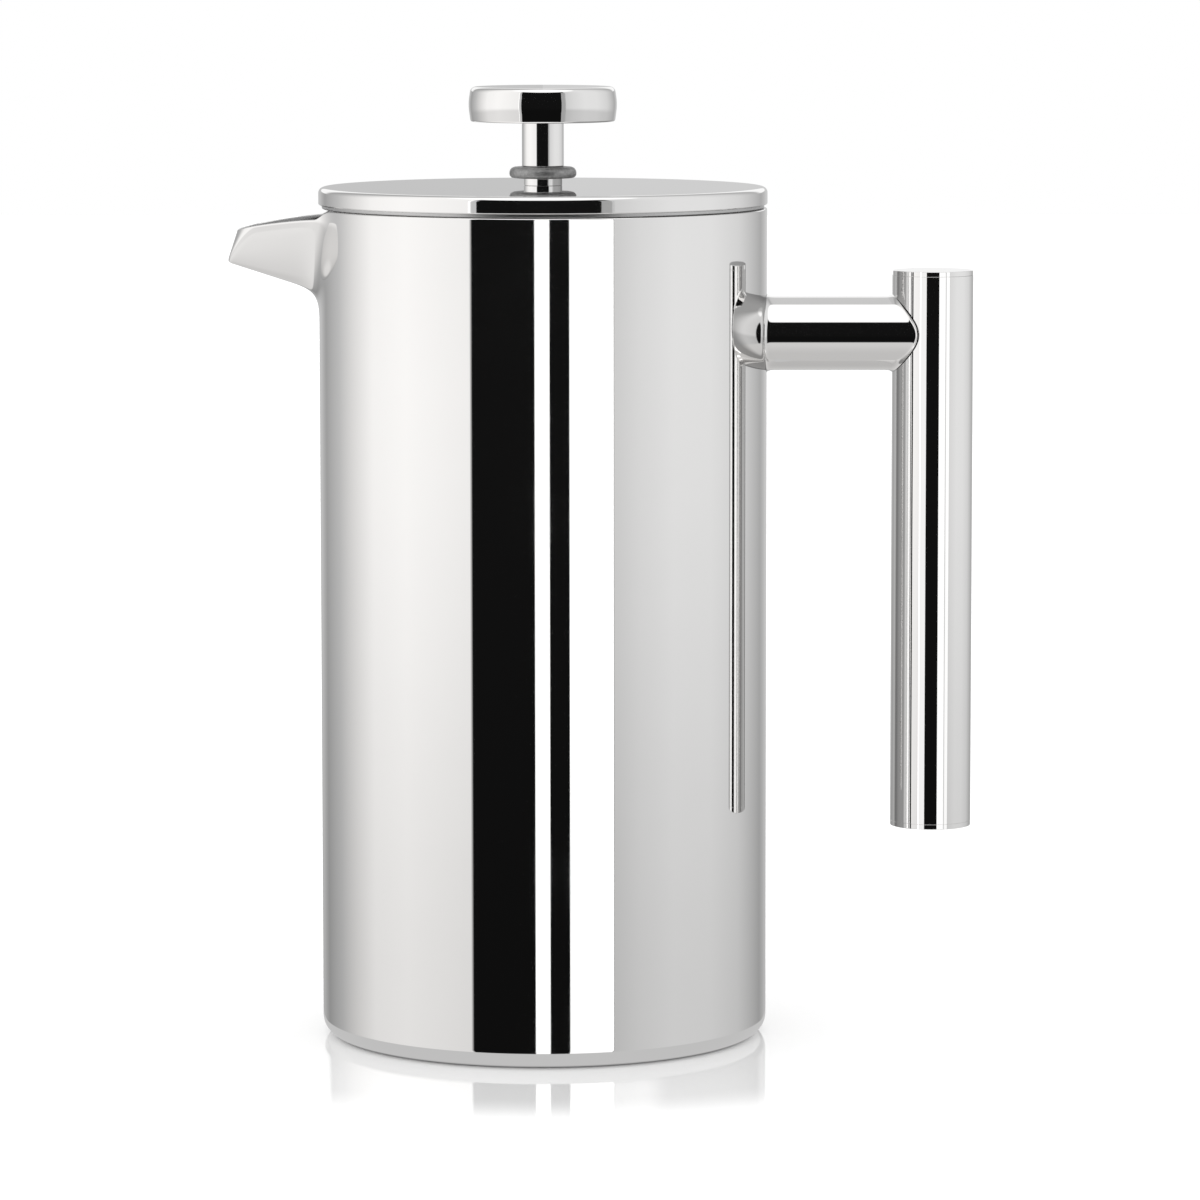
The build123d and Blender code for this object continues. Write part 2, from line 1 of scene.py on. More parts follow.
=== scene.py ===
"""Looks of a double-walled polished steel french press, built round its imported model.

Lengths inside the classes are millimetres, in the row frame: +Z up the jug's axis, the handle
along +X and the spout along -X. Meshes are scaled to metres as they are made.
"""

import json
import logging
import math
from dataclasses import dataclass, field
from enum import Enum

import bpy
import numpy as np
from mathutils import Matrix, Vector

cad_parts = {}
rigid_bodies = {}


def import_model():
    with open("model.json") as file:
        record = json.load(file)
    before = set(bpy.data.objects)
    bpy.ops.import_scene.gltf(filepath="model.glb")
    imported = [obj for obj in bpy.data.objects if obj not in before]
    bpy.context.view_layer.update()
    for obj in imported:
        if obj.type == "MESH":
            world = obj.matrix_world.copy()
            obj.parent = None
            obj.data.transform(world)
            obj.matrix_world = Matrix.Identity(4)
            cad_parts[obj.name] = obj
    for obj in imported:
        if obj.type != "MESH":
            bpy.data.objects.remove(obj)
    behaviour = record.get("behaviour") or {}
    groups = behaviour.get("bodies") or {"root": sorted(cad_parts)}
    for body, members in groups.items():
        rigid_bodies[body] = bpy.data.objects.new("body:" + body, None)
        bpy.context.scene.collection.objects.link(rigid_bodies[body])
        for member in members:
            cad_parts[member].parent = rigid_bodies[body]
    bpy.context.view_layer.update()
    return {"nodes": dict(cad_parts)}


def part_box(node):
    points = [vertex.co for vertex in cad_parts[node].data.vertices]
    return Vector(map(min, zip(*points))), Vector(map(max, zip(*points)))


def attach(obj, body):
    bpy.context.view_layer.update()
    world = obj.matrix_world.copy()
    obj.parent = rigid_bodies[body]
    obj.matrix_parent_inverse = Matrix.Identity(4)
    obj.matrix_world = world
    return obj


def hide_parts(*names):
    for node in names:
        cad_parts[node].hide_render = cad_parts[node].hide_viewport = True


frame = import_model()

log = logging.getLogger("french_press")
MM = 0.001


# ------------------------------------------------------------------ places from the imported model


@dataclass(frozen=True)
class Extent:
    """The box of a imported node, in millimetres."""

    low: tuple[float, float, float]
    high: tuple[float, float, float]

    @classmethod
    def of(cls, node: str) -> "Extent":
        """Read a node's box.

        Args:
            node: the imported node's name.
        Returns:
            The node's extent at rest.
        """
        low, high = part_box(node)
        return cls(tuple(v / MM for v in low), tuple(v / MM for v in high))

    @property
    def bottom(self) -> float:
        """Height of the lowest point.

        Returns:
            The height, in millimetres.
        """
        return self.low[2]

    @property
    def top(self) -> float:
        """Height of the highest point.

        Returns:
            The height, in millimetres.
        """
        return self.high[2]

    @property
    def centre_x(self) -> float:
        """Middle of the box along X.

        Returns:
            The place on X, in millimetres.
        """
        return (self.low[0] + self.high[0]) / 2

    @property
    def radius(self) -> float:
        """Half of the box's width along X.

        Returns:
            The radius, in millimetres.
        """
        return (self.high[0] - self.low[0]) / 2


# ------------------------------------------------------------------ sections and surfaces


@dataclass(frozen=True)
class Outline:
    """A section through a turned piece: points (radius, height) with their outward normals."""

    points: np.ndarray
    normals: np.ndarray
    closed: bool


def rounded_outline(corners: list[tuple[float, float, float]], closed: bool = True, arc: int = 5) -> Outline:
    """Make a section from its corners, with an arc at each corner.

    The corners run anticlockwise, the metal on their left. An arc's points are its centre plus the
    radius times a normal that turns evenly from one side's normal to the next side's.

    Args:
        corners: (radius, height, fillet radius) of each corner.
        closed: whether the last corner joins the first.
        arc: number of points on each fillet.
    Returns:
        The outline with exact normals.
    """
    spots = np.array([c[:2] for c in corners], float)
    points, normals = [], []
    count = len(corners)
    for i, (_, _, fillet) in enumerate(corners):
        before = spots[i] - spots[i - 1] if closed or i > 0 else None
        after = spots[(i + 1) % count] - spots[i] if closed or i < count - 1 else None
        if before is None or after is None:
            along = after if before is None else before
            along = along / np.linalg.norm(along)
            points.append(spots[i][None])
            normals.append(np.array([[along[1], -along[0]]]))
            continue
        t0 = before / np.linalg.norm(before)
        t1 = after / np.linalg.norm(after)
        turn = math.atan2(t0[0] * t1[1] - t0[1] * t1[0], float(t0 @ t1))
        side = 1.0 if turn >= 0 else -1.0
        n0 = np.array([t0[1], -t0[0]])
        start = spots[i] - t0 * fillet * math.tan(abs(turn) / 2)
        centre = start - side * fillet * n0
        angles = np.linspace(0, turn, arc)
        cos, sin = np.cos(angles), np.sin(angles)
        swept = np.stack([n0[0] * cos - n0[1] * sin, n0[0] * sin + n0[1] * cos], -1)
        points.append(centre + side * fillet * swept)
        normals.append(swept)
    return Outline(np.concatenate(points), np.concatenate(normals), closed)


def surface_mesh(
    name: str,
    points: np.ndarray,
    normals: np.ndarray,
    wrap: tuple[bool, bool] = (True, True),
    keep: np.ndarray | None = None,
    extra: np.ndarray | None = None,
) -> bpy.types.Object:
    """Turn a grid of points into a smooth mesh object.

    Face (i, j) joins grid points (i, j), (i+1, j), (i+1, j+1) and (i, j+1). Grid points that lie in
    one place share a vertex, so the faces at a pole are triangles.

    Args:
        name: the object's name.
        points: grid of points in millimetres, of shape (rows, columns, 3).
        normals: the surface's normals on the same grid.
        wrap: whether rows and columns close on themselves.
        keep: which faces are kept, of shape (face rows, face columns).
        extra: more quads, as flat grid indices of shape (n, 4).
    Returns:
        The object, linked to the scene.
    """
    rows, columns = points.shape[:2]
    i = np.arange(rows if wrap[0] else rows - 1)
    j = np.arange(columns if wrap[1] else columns - 1)
    i0, j0 = np.meshgrid(i, j, indexing="ij")
    i1, j1 = (i0 + 1) % rows, (j0 + 1) % columns
    quads = np.stack([i0 * columns + j0, i1 * columns + j0, i1 * columns + j1, i0 * columns + j1], -1)
    quads = quads.reshape(-1, 4) if keep is None else quads[keep]
    if extra is not None:
        quads = np.concatenate([quads, extra])
    flat = points.reshape(-1, 3)
    snapped = np.round(flat, 5) + 0.0
    _, first, share = np.unique(snapped, axis=0, return_index=True, return_inverse=True)
    quads = share.reshape(-1)[quads]
    used, quads = np.unique(quads, return_inverse=True)
    quads = quads.reshape(-1, 4)
    same = quads == np.roll(quads, -1, 1)
    whole = quads[~same.any(1)]
    corner = np.argmax(same, 1)
    pointed = same.sum(1) == 1
    order = (corner[pointed][:, None] + np.array([1, 2, 3])) % 4
    triangles = np.take_along_axis(quads[pointed], order, 1)
    mesh = bpy.data.meshes.new(name)
    mesh.from_pydata(flat[first[used]] * MM, [], whole.tolist() + triangles.tolist())
    mesh.polygons.foreach_set("use_smooth", np.ones(len(mesh.polygons), bool))
    unit = normals.reshape(-1, 3)[first[used]]
    unit = unit / np.maximum(np.linalg.norm(unit, axis=1, keepdims=True), 1e-12)
    mesh.normals_split_custom_set_from_vertices(unit.tolist())
    obj = bpy.data.objects.new(name, mesh)
    bpy.context.scene.collection.objects.link(obj)
    return obj


def tube_section(bore: float, radius: float, low: float, high: float, rounds: tuple) -> Outline:
    """Make the section of a plain tube or washer.

    Args:
        bore: its inner radius.
        radius: its outer radius.
        low: its lower end.
        high: its upper end.
        rounds: edge radii of the corners, from the lower inside one anticlockwise.
    Returns:
        The closed outline.
    """
    spots = [(bore, low), (radius, low), (radius, high), (bore, high)]
    return rounded_outline([(*spot, edge) for spot, edge in zip(spots, rounds)])


def disc_section(radius: float, low: float, high: float, rounds: tuple[float, float]) -> Outline:
    """Make the section of a solid disc or bar.

    Args:
        radius: its radius.
        low: its lower face.
        high: its upper face.
        rounds: radii of the lower and upper edges.
    Returns:
        The outline, open at the axis.
    """
    corners = [(0, low, 0), (radius, low, rounds[0]), (radius, high, rounds[1]), (0, high, 0)]
    return rounded_outline(corners, closed=False)


def turned(name: str, outline: Outline, steps: int = 192, centre_x: float = 0.0) -> bpy.types.Object:
    """Turn an outline about an upright axis.

    A point at angle a is (centre + r cos a, r sin a, height), and so are the normals.

    Args:
        name: the object's name.
        outline: the section.
        steps: number of columns round the axis.
        centre_x: where the axis stands on X.
    Returns:
        The turned piece.
    """
    angle = np.linspace(0, 2 * np.pi, steps, endpoint=False)[:, None]
    radius, height = outline.points.T
    out, up = outline.normals.T
    points = np.stack(
        [centre_x + radius * np.cos(angle), radius * np.sin(angle), height + 0 * angle], -1
    )
    normals = np.stack([out * np.cos(angle), out * np.sin(angle), up + 0 * angle], -1)
    pole = np.abs(radius) < 1e-9
    normals[:, pole, :2] = 0.0
    return surface_mesh(name, points, normals, (True, outline.closed))


# ------------------------------------------------------------------ finishes


class Grain(Enum):
    """Which way a brushed finish runs."""

    ROUND_AXIS = "round_axis"
    CONCENTRIC = "concentric"
    STRAIGHT = "straight"


class Nodes:
    """Short hand for wiring a node tree."""

    def __init__(self, tree: bpy.types.NodeTree) -> None:
        """Clear a tree and keep it.

        Args:
            tree: the node tree to fill.
        """
        self.tree = tree
        tree.nodes.clear()

    @classmethod
    def of_material(cls, name: str) -> tuple[bpy.types.Material, "Nodes"]:
        """Start a material with an empty node tree.

        Args:
            name: the material's name.
        Returns:
            The material and its nodes.
        """
        material = bpy.data.materials.new(name)
        material.use_nodes = True
        return material, cls(material.node_tree)

    def add(self, kind: str, inputs: dict | None = None, **settings: object) -> bpy.types.Node:
        """Add a node.

        Args:
            kind: the node's type name.
            inputs: socket name or index to a number, a colour, or another node's output.
            settings: properties to set before the sockets.
        Returns:
            The new node.
        """
        node = self.tree.nodes.new(kind)
        for key, value in settings.items():
            setattr(node, key, value)
        for key, value in (inputs or {}).items():
            if isinstance(value, bpy.types.NodeSocket):
                self.tree.links.new(value, node.inputs[key])
            else:
                node.inputs[key].default_value = value
        return node

    def maths(self, operation: str, *values: object) -> bpy.types.NodeSocket:
        """Add a Math node.

        Args:
            operation: the node's operation.
            values: numbers or outputs, in the order of the node's sockets.
        Returns:
            The node's output.
        """
        return self.add("ShaderNodeMath", dict(enumerate(values)), operation=operation).outputs[0]

    def ramp(self, factor: bpy.types.NodeSocket, stops: list[tuple[float, tuple]]) -> bpy.types.NodeSocket:
        """Add a colour ramp.

        Args:
            factor: what the ramp reads.
            stops: (position, colour) pairs, in order.
        Returns:
            The ramp's colour.
        """
        node = self.add("ShaderNodeValToRGB", {0: factor})
        elements = node.color_ramp.elements
        for _ in range(len(stops) - 2):
            elements.new(0.5)
        for element, (position, colour) in zip(elements, stops):
            element.position = position
            element.color = colour
        return node.outputs[0]

    def bump(self, strength: float, depth: float, height: bpy.types.NodeSocket) -> bpy.types.NodeSocket:
        """Add a bump.

        Args:
            strength: how much of the bump shows.
            depth: its height in metres.
            height: the pattern that it follows.
        Returns:
            The bumped normal.
        """
        inputs = {"Strength": strength, "Distance": depth, "Height": height}
        return self.add("ShaderNodeBump", inputs).outputs[0]

    def metal(self, tint: bpy.types.NodeSocket, rough: object, normal: bpy.types.NodeSocket) -> None:
        """Finish a metal's tree with its shader.

        Args:
            tint: the metal's colour.
            rough: its roughness, a number or an output.
            normal: its bumped normal.
        """
        inputs = {"Base Color": tint, "Metallic": 1.0, "Roughness": rough, "Normal": normal}
        shader = self.add("ShaderNodeBsdfPrincipled", inputs)
        self.add("ShaderNodeOutputMaterial", {0: shader.outputs[0]})

    def step(
        self, value: bpy.types.NodeSocket, low: float, high: float, at_low: float, at_high: float
    ) -> bpy.types.NodeSocket:
        """Go smoothly from one number to another as a value passes between two limits.

        Args:
            value: the output that is followed.
            low: where the change starts.
            high: where it ends.
            at_low: the number up to the start.
            at_high: the number past the end.
        Returns:
            The number's output.
        """
        inputs = {"Value": value, "From Min": low, "From Max": high, "To Min": at_low, "To Max": at_high}
        return self.add("ShaderNodeMapRange", inputs, interpolation_type="SMOOTHSTEP").outputs[0]

    def scaled(self, colour: bpy.types.NodeSocket, by: bpy.types.NodeSocket) -> bpy.types.NodeSocket:
        """Multiply a colour by a number.

        Args:
            colour: the colour's output.
            by: the number's output.
        Returns:
            The product.
        """
        return self.add("ShaderNodeVectorMath", {0: colour, "Scale": by}, operation="SCALE").outputs[0]

    def colour_mix(self, factor: bpy.types.NodeSocket, a: object, b: object) -> bpy.types.NodeSocket:
        """Mix two colours.

        Args:
            factor: 0 for the first colour, 1 for the second.
            a: the first colour, plain or an output.
            b: the second colour, plain or an output.
        Returns:
            The mixed colour.
        """
        return self.add("ShaderNodeMix", {0: factor, 6: a, 7: b}, data_type="RGBA").outputs[2]


def grey(value: float, warmth: float = 0.0) -> tuple[float, float, float, float]:
    """A grey, warmed by lifting red and lowering blue a little.

    Args:
        value: the grey's brightness.
        warmth: the share by which red rises and blue falls.
    Returns:
        The colour with full alpha.
    """
    return (value * (1 + warmth), value, value * (1 - warmth), 1.0)


@dataclass(frozen=True)
class PolishedSteel:
    """Mirror-polished stainless steel with a faint polishing haze."""

    name: str = "polished_steel"
    base: tuple[float, float, float, float] = (0.93, 0.925, 0.92, 1.0)
    clear: float = 0.018
    hazy: float = 0.05

    def build(self) -> bpy.types.Material:
        """Make the material.

        Returns:
            The material.
        """
        material, nodes = Nodes.of_material(self.name)
        place = nodes.add("ShaderNodeTexCoord").outputs["Object"]
        cloud = {"Vector": place, "Scale": 34.0, "Detail": 5.0, "Roughness": 0.6}
        haze = nodes.add("ShaderNodeTexNoise", cloud).outputs[0]
        ends = {"From Min": 0.45, "From Max": 0.75, "To Min": self.clear, "To Max": self.hazy}
        rough = nodes.add("ShaderNodeMapRange", {"Value": haze, **ends}).outputs[0]
        dull = tuple(0.985 * c for c in self.base[:3]) + (1.0,)
        tint = nodes.ramp(haze, [(0.35, self.base), (0.8, dull)])
        wheel = nodes.add("ShaderNodeMapping", {"Vector": place, "Scale": (60.0, 60.0, 900.0)})
        scratch = nodes.add("ShaderNodeTexNoise", {"Vector": wheel.outputs[0], "Scale": 6.0, "Detail": 3.0})
        nodes.metal(tint, rough, nodes.bump(0.012, 0.00002, scratch.outputs[0]))
        return material


@dataclass(frozen=True)
class BrushedSteel:
    """Stainless steel with fine brushing lines."""

    name: str
    grain: Grain
    base: float = 0.62
    roughness: float = 0.26
    pitch: float = 2600.0  # lines to the metre, across the brushing
    along: float = 30.0  # and along it

    def build(self) -> bpy.types.Material:
        """Make the material.

        Returns:
            The material.
        """
        material, nodes = Nodes.of_material(self.name)
        place = nodes.add("ShaderNodeTexCoord").outputs["Object"]
        strokes = {"Vector": self.lay(nodes, place), "Scale": 1.0, "Detail": 4.0, "Roughness": 0.7}
        lines = nodes.add("ShaderNodeTexNoise", strokes)
        cloud = nodes.add("ShaderNodeTexNoise", {"Vector": place, "Scale": 60.0, "Detail": 3.0})
        tint = nodes.ramp(lines.outputs[0], [(0.3, grey(self.base * 0.86)), (0.7, grey(self.base * 1.08))])
        drift = nodes.maths("MULTIPLY_ADD", cloud.outputs[0], 0.12, self.roughness - 0.06)
        rough = nodes.maths("MULTIPLY_ADD", lines.outputs[0], 0.1, drift)
        nodes.metal(tint, rough, nodes.bump(0.25, 0.00004, lines.outputs[0]))
        return material

    def lay(self, nodes: Nodes, place: bpy.types.NodeSocket) -> bpy.types.NodeSocket:
        """Stretch the noise along the brushing.

        Args:
            nodes: the tree in hand.
            place: object coordinates.
        Returns:
            The vector that the noise reads.
        """
        across, along = self.pitch, self.along
        scales = {Grain.STRAIGHT: (along, across, along), Grain.ROUND_AXIS: (along, along, across)}
        if self.grain in scales:
            return nodes.add("ShaderNodeMapping", {"Vector": place, "Scale": scales[self.grain]}).outputs[0]
        x, y, z = nodes.add("ShaderNodeSeparateXYZ", {0: place}).outputs
        square = nodes.maths("ADD", nodes.maths("MULTIPLY", x, x), nodes.maths("MULTIPLY", y, y))
        rings = nodes.maths("MULTIPLY", nodes.maths("SQRT", square), across)
        return nodes.add("ShaderNodeCombineXYZ", {0: rings, 1: nodes.maths("MULTIPLY", z, across)}).outputs[0]


@dataclass(frozen=True)
class SatinSteel:
    """Bead-blasted steel with a fine mottled grain."""

    name: str
    base: float = 0.42
    roughness: float = 0.5
    grain: float = 1500.0  # of the fine mottling; the broad one is a sixth of it
    depth: float = 0.0003

    def build(self) -> bpy.types.Material:
        """Make the material.

        Returns:
            The material.
        """
        material, nodes = Nodes.of_material(self.name)
        place = nodes.add("ShaderNodeTexCoord").outputs["Object"]
        fine = nodes.add("ShaderNodeTexNoise", {"Vector": place, "Scale": self.grain, "Detail": 4.0})
        broad = nodes.add("ShaderNodeTexNoise", {"Vector": place, "Scale": self.grain / 6, "Detail": 2.0})
        half = nodes.maths("MULTIPLY", broad.outputs[0], 0.5)
        mottle = nodes.maths("MULTIPLY_ADD", fine.outputs[0], 0.5, half)
        tint = nodes.ramp(mottle, [(0.35, grey(self.base * 0.6)), (0.65, grey(self.base * 1.15))])
        rough = nodes.maths("MULTIPLY_ADD", broad.outputs[0], 0.2, self.roughness - 0.1)
        nodes.metal(tint, rough, nodes.bump(0.5, self.depth, mottle))
        return material


@dataclass(frozen=True)
class WovenWire:
    """Fine plain-woven stainless wire cloth."""

    name: str = "woven_wire"
    pitch: float = 0.00042  # metres from wire to wire

    def build(self) -> bpy.types.Material:
        """Make the material. Two families of wires are sine waves along X and Y, out of step.

        Returns:
            The material.
        """
        material, nodes = Nodes.of_material(self.name)
        place = nodes.add("ShaderNodeTexCoord").outputs["Object"]
        x, y, z = nodes.add("ShaderNodeSeparateXYZ", {0: place}).outputs
        rate = math.pi / self.pitch
        across = nodes.maths("SINE", nodes.maths("MULTIPLY", nodes.maths("ADD", x, z), rate))
        along = nodes.maths("SINE", nodes.maths("MULTIPLY", nodes.maths("ADD", y, z), rate))
        weave = nodes.maths("MULTIPLY", across, along)
        wires = nodes.maths("MAXIMUM", nodes.maths("ABSOLUTE", across), nodes.maths("ABSOLUTE", along))
        height = nodes.maths("MULTIPLY_ADD", weave, 0.3, wires)
        # painted shade: the gaps between the wires are painted near black, and the tone rises towards each
        # wire's middle
        tint = nodes.ramp(wires, [(0.45, grey(0.08)), (0.75, grey(0.4)), (1.0, grey(0.62))])
        nodes.metal(tint, 0.36, nodes.bump(0.8, 0.00012, height))
        return material


@dataclass(frozen=True)
class BushPlastic:
    """Natural low-friction plastic, slightly uneven in tone."""

    name: str = "bush_plastic"

    def build(self) -> bpy.types.Material:
        """Make the material.

        Returns:
            The material.
        """
        material, nodes = Nodes.of_material(self.name)
        place = nodes.add("ShaderNodeTexCoord").outputs["Object"]
        tone = nodes.add("ShaderNodeTexNoise", {"Vector": place, "Scale": 400.0, "Detail": 3.0})
        tint = nodes.ramp(tone.outputs[0], [(0.3, (0.74, 0.73, 0.69, 1)), (0.7, (0.82, 0.81, 0.78, 1))])
        normal = nodes.bump(0.3, 0.00005, tone.outputs[0])
        inputs = {"Base Color": tint, "Roughness": 0.45, "Normal": normal}
        shader = nodes.add("ShaderNodeBsdfPrincipled", inputs)
        nodes.add("ShaderNodeOutputMaterial", {0: shader.outputs[0]})
        return material


class Slot(Enum):
    """The record's material slots."""

    POLISHED = "polished_steel"
    BRUSHED = "brushed_steel"
    SATIN = "satin_steel"
    MESH = "woven_mesh"
    WIRE = "spring_wire"
    BUSH = "bush_plastic"


@dataclass
class Workshop:
    """Holds the finishes and fits each piece to its body."""

    polished: bpy.types.Material = field(default_factory=lambda: PolishedSteel().build())
    hoop_brushed: bpy.types.Material = field(
        default_factory=lambda: BrushedSteel("hoop_brushed_steel", Grain.ROUND_AXIS).build()
    )
    ring_brushed: bpy.types.Material = field(
        default_factory=lambda: BrushedSteel("ring_brushed_steel", Grain.CONCENTRIC).build()
    )
    straight_brushed: bpy.types.Material = field(
        default_factory=lambda: BrushedSteel("straight_brushed_steel", Grain.STRAIGHT).build()
    )
    collar_satin: bpy.types.Material = field(default_factory=lambda: SatinSteel("collar_satin_steel").build())
    spring_wire: bpy.types.Material = field(
        default_factory=lambda: BrushedSteel("drawn_wire", Grain.ROUND_AXIS, base=0.72, roughness=0.2).build()
    )
    mesh: bpy.types.Material = field(default_factory=lambda: WovenWire().build())
    bush: bpy.types.Material = field(default_factory=lambda: BushPlastic().build())

    def fit(
        self, piece: bpy.types.Object, body: str, material: bpy.types.Material, slot: Slot, *nodes: str
    ) -> bpy.types.Object:
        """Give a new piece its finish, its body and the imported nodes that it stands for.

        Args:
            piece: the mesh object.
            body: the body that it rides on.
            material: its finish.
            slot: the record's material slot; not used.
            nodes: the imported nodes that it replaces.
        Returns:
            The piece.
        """
        piece.data.materials.append(material)
        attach(piece, body)
        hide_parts(*nodes)
        log.info("%s rides on %s and stands for %s", piece.name, body, ", ".join(nodes))
        return piece

    def dress(self, node: str, material: bpy.types.Material) -> None:
        """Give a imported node, kept as it is, a better finish.

        Args:
            node: the node's name.
            material: its new finish.
        """
        kept = frame["nodes"][node].data.materials
        kept.clear()
        kept.append(material)
        log.info("%s keeps its packed mesh", node)


# ------------------------------------------------------------------ the jug and its spout


def soft_min(a: np.ndarray, b: np.ndarray, reach: float) -> np.ndarray:
    """The lesser of two distances, rounded where they differ by less than reach.

    The rounding takes off reach/6 times the cube of how near the two are, as a share of reach.

    Args:
        a: the first distance.
        b: the second distance.
        reach: size of the rounding.
    Returns:
        The lesser distance.
    """
    near = np.maximum(reach - np.abs(a - b), 0) / reach
    return np.minimum(a, b) - near**3 * reach / 6


def soft_max(a: np.ndarray, b: np.ndarray, reach: float) -> np.ndarray:
    """The greater of two distances, rounded where they differ by less than reach.

    Args:
        a: the first distance.
        b: the second distance.
        reach: size of the rounding.
    Returns:
        The greater distance.
    """
    return -soft_min(-a, -b, reach)


@dataclass(frozen=True)
class SpoutForm:
    """The pouring trough: a parabola in section, a V with a round nose in plan."""

    root: float = 52.5  # distances from the jug's axis
    nose: float = 71.5
    tip: float = 74.1
    root_top: float = 193.1
    nose_top: float = 190.5
    root_keel: float = 175.6
    tip_keel: float = 182.5
    root_half_width: float = 14.9
    nose_half_width: float = 5.3
    edge: float = 1.6  # rounding between the keel and the nose

    def distance(self, out: np.ndarray, side: np.ndarray, height: np.ndarray, inset: float) -> np.ndarray:
        """Rough distance outside the trough's surface, negative inside it.

        The trough's skin is height = keel + depth (side / half width)^2. In plan, the nose is a
        circle that meets the V's two lines on a tangent, and it leans back as it rises. The trough
        ends well inside the jug.

        Args:
            out: distance from the jug's axis towards the nose.
            side: distance to either side of the spout's middle plane.
            height: height above the table.
            inset: how far the skin lies inside the outer one.
        Returns:
            The distance, in millimetres.
        """
        flare = (self.root_half_width - self.nose_half_width) / (self.nose - self.root)
        rise = (self.tip_keel - self.root_keel) / (self.tip - self.root)
        along = out - self.root
        half = np.maximum(self.root_half_width - flare * along - inset, 0.8)
        keel = self.root_keel + rise * along + inset
        top = self.root_top + (self.nose_top - self.root_top) / (self.nose - self.root) * along
        depth = np.maximum(top - keel, 1.0)
        skin = keel + depth * (side / half) ** 2
        slope = 2 * depth * np.abs(side) / half**2
        below = (skin - height) / np.sqrt(1 + slope**2 + rise**2)
        angle = math.atan(flare)
        bend = self.nose_half_width * math.cos(angle) / (1 - math.sin(angle))
        lean = (self.tip - self.nose) / (self.nose_top - self.tip_keel)
        centre = self.nose - bend + lean * (self.nose_top - height)
        ahead = out - centre
        circle = np.hypot(ahead, side) - (bend - inset)
        flank = ahead * math.sin(angle) + np.abs(side) * math.cos(angle) - (bend - inset)
        front = np.where(ahead * math.cos(angle) > np.abs(side) * math.sin(angle), circle, flank)
        return np.maximum(soft_max(below, front, self.edge), 30.0 - out)


@dataclass(frozen=True)
class PressedWall:
    """A cylinder wall that flows into the spout with a soft fillet."""

    radius: float
    inset: float = 0.0
    fillet: float = 7.5
    spout: SpoutForm = field(default_factory=SpoutForm)

    def reach(self, angle: np.ndarray, height: np.ndarray) -> np.ndarray:
        """Distance of the wall from the axis, found by halving an interval along each ray.

        Args:
            angle: angle from the spout's direction, in radians.
            height: height above the table.
        Returns:
            The distance at each angle and height.
        """
        low = np.full(np.broadcast(angle, height).shape, self.radius - 0.5)
        high = np.full(low.shape, self.spout.tip + 4.0)
        for _ in range(36):
            middle = (low + high) / 2
            trough = self.spout.distance(middle * np.cos(angle), middle * np.sin(angle), height, self.inset)
            inside = soft_min(middle - self.radius, trough, self.fillet) < 0
            low = np.where(inside, middle, low)
            high = np.where(inside, high, middle)
        return (low + high) / 2

    def place(self, angle: np.ndarray, height: np.ndarray) -> tuple[np.ndarray, np.ndarray]:
        """Points and unit normals of the wall.

        The normal is the outward radius, less the reach's change with height along Z, less its
        change with angle along the circle.

        Args:
            angle: angle from the spout's direction.
            height: height above the table.
        Returns:
            Points and normals, each with three numbers in the last axis.
        """
        step_angle, step_height = 1e-4, 5e-3
        reach = self.reach(angle, height)
        by_height = (self.reach(angle, height + step_height) - self.reach(angle, height - step_height)) / (
            2 * step_height
        )
        by_angle = (self.reach(angle + step_angle, height) - self.reach(angle - step_angle, height)) / (
            2 * step_angle
        )
        cos, sin = np.cos(angle), np.sin(angle)
        turn = by_angle / reach
        points = np.stack([-reach * cos, -reach * sin, height + 0 * angle], -1)
        normals = np.stack([-cos - turn * sin, -sin + turn * cos, -by_height], -1)
        return points, normals / np.linalg.norm(normals, axis=-1, keepdims=True)


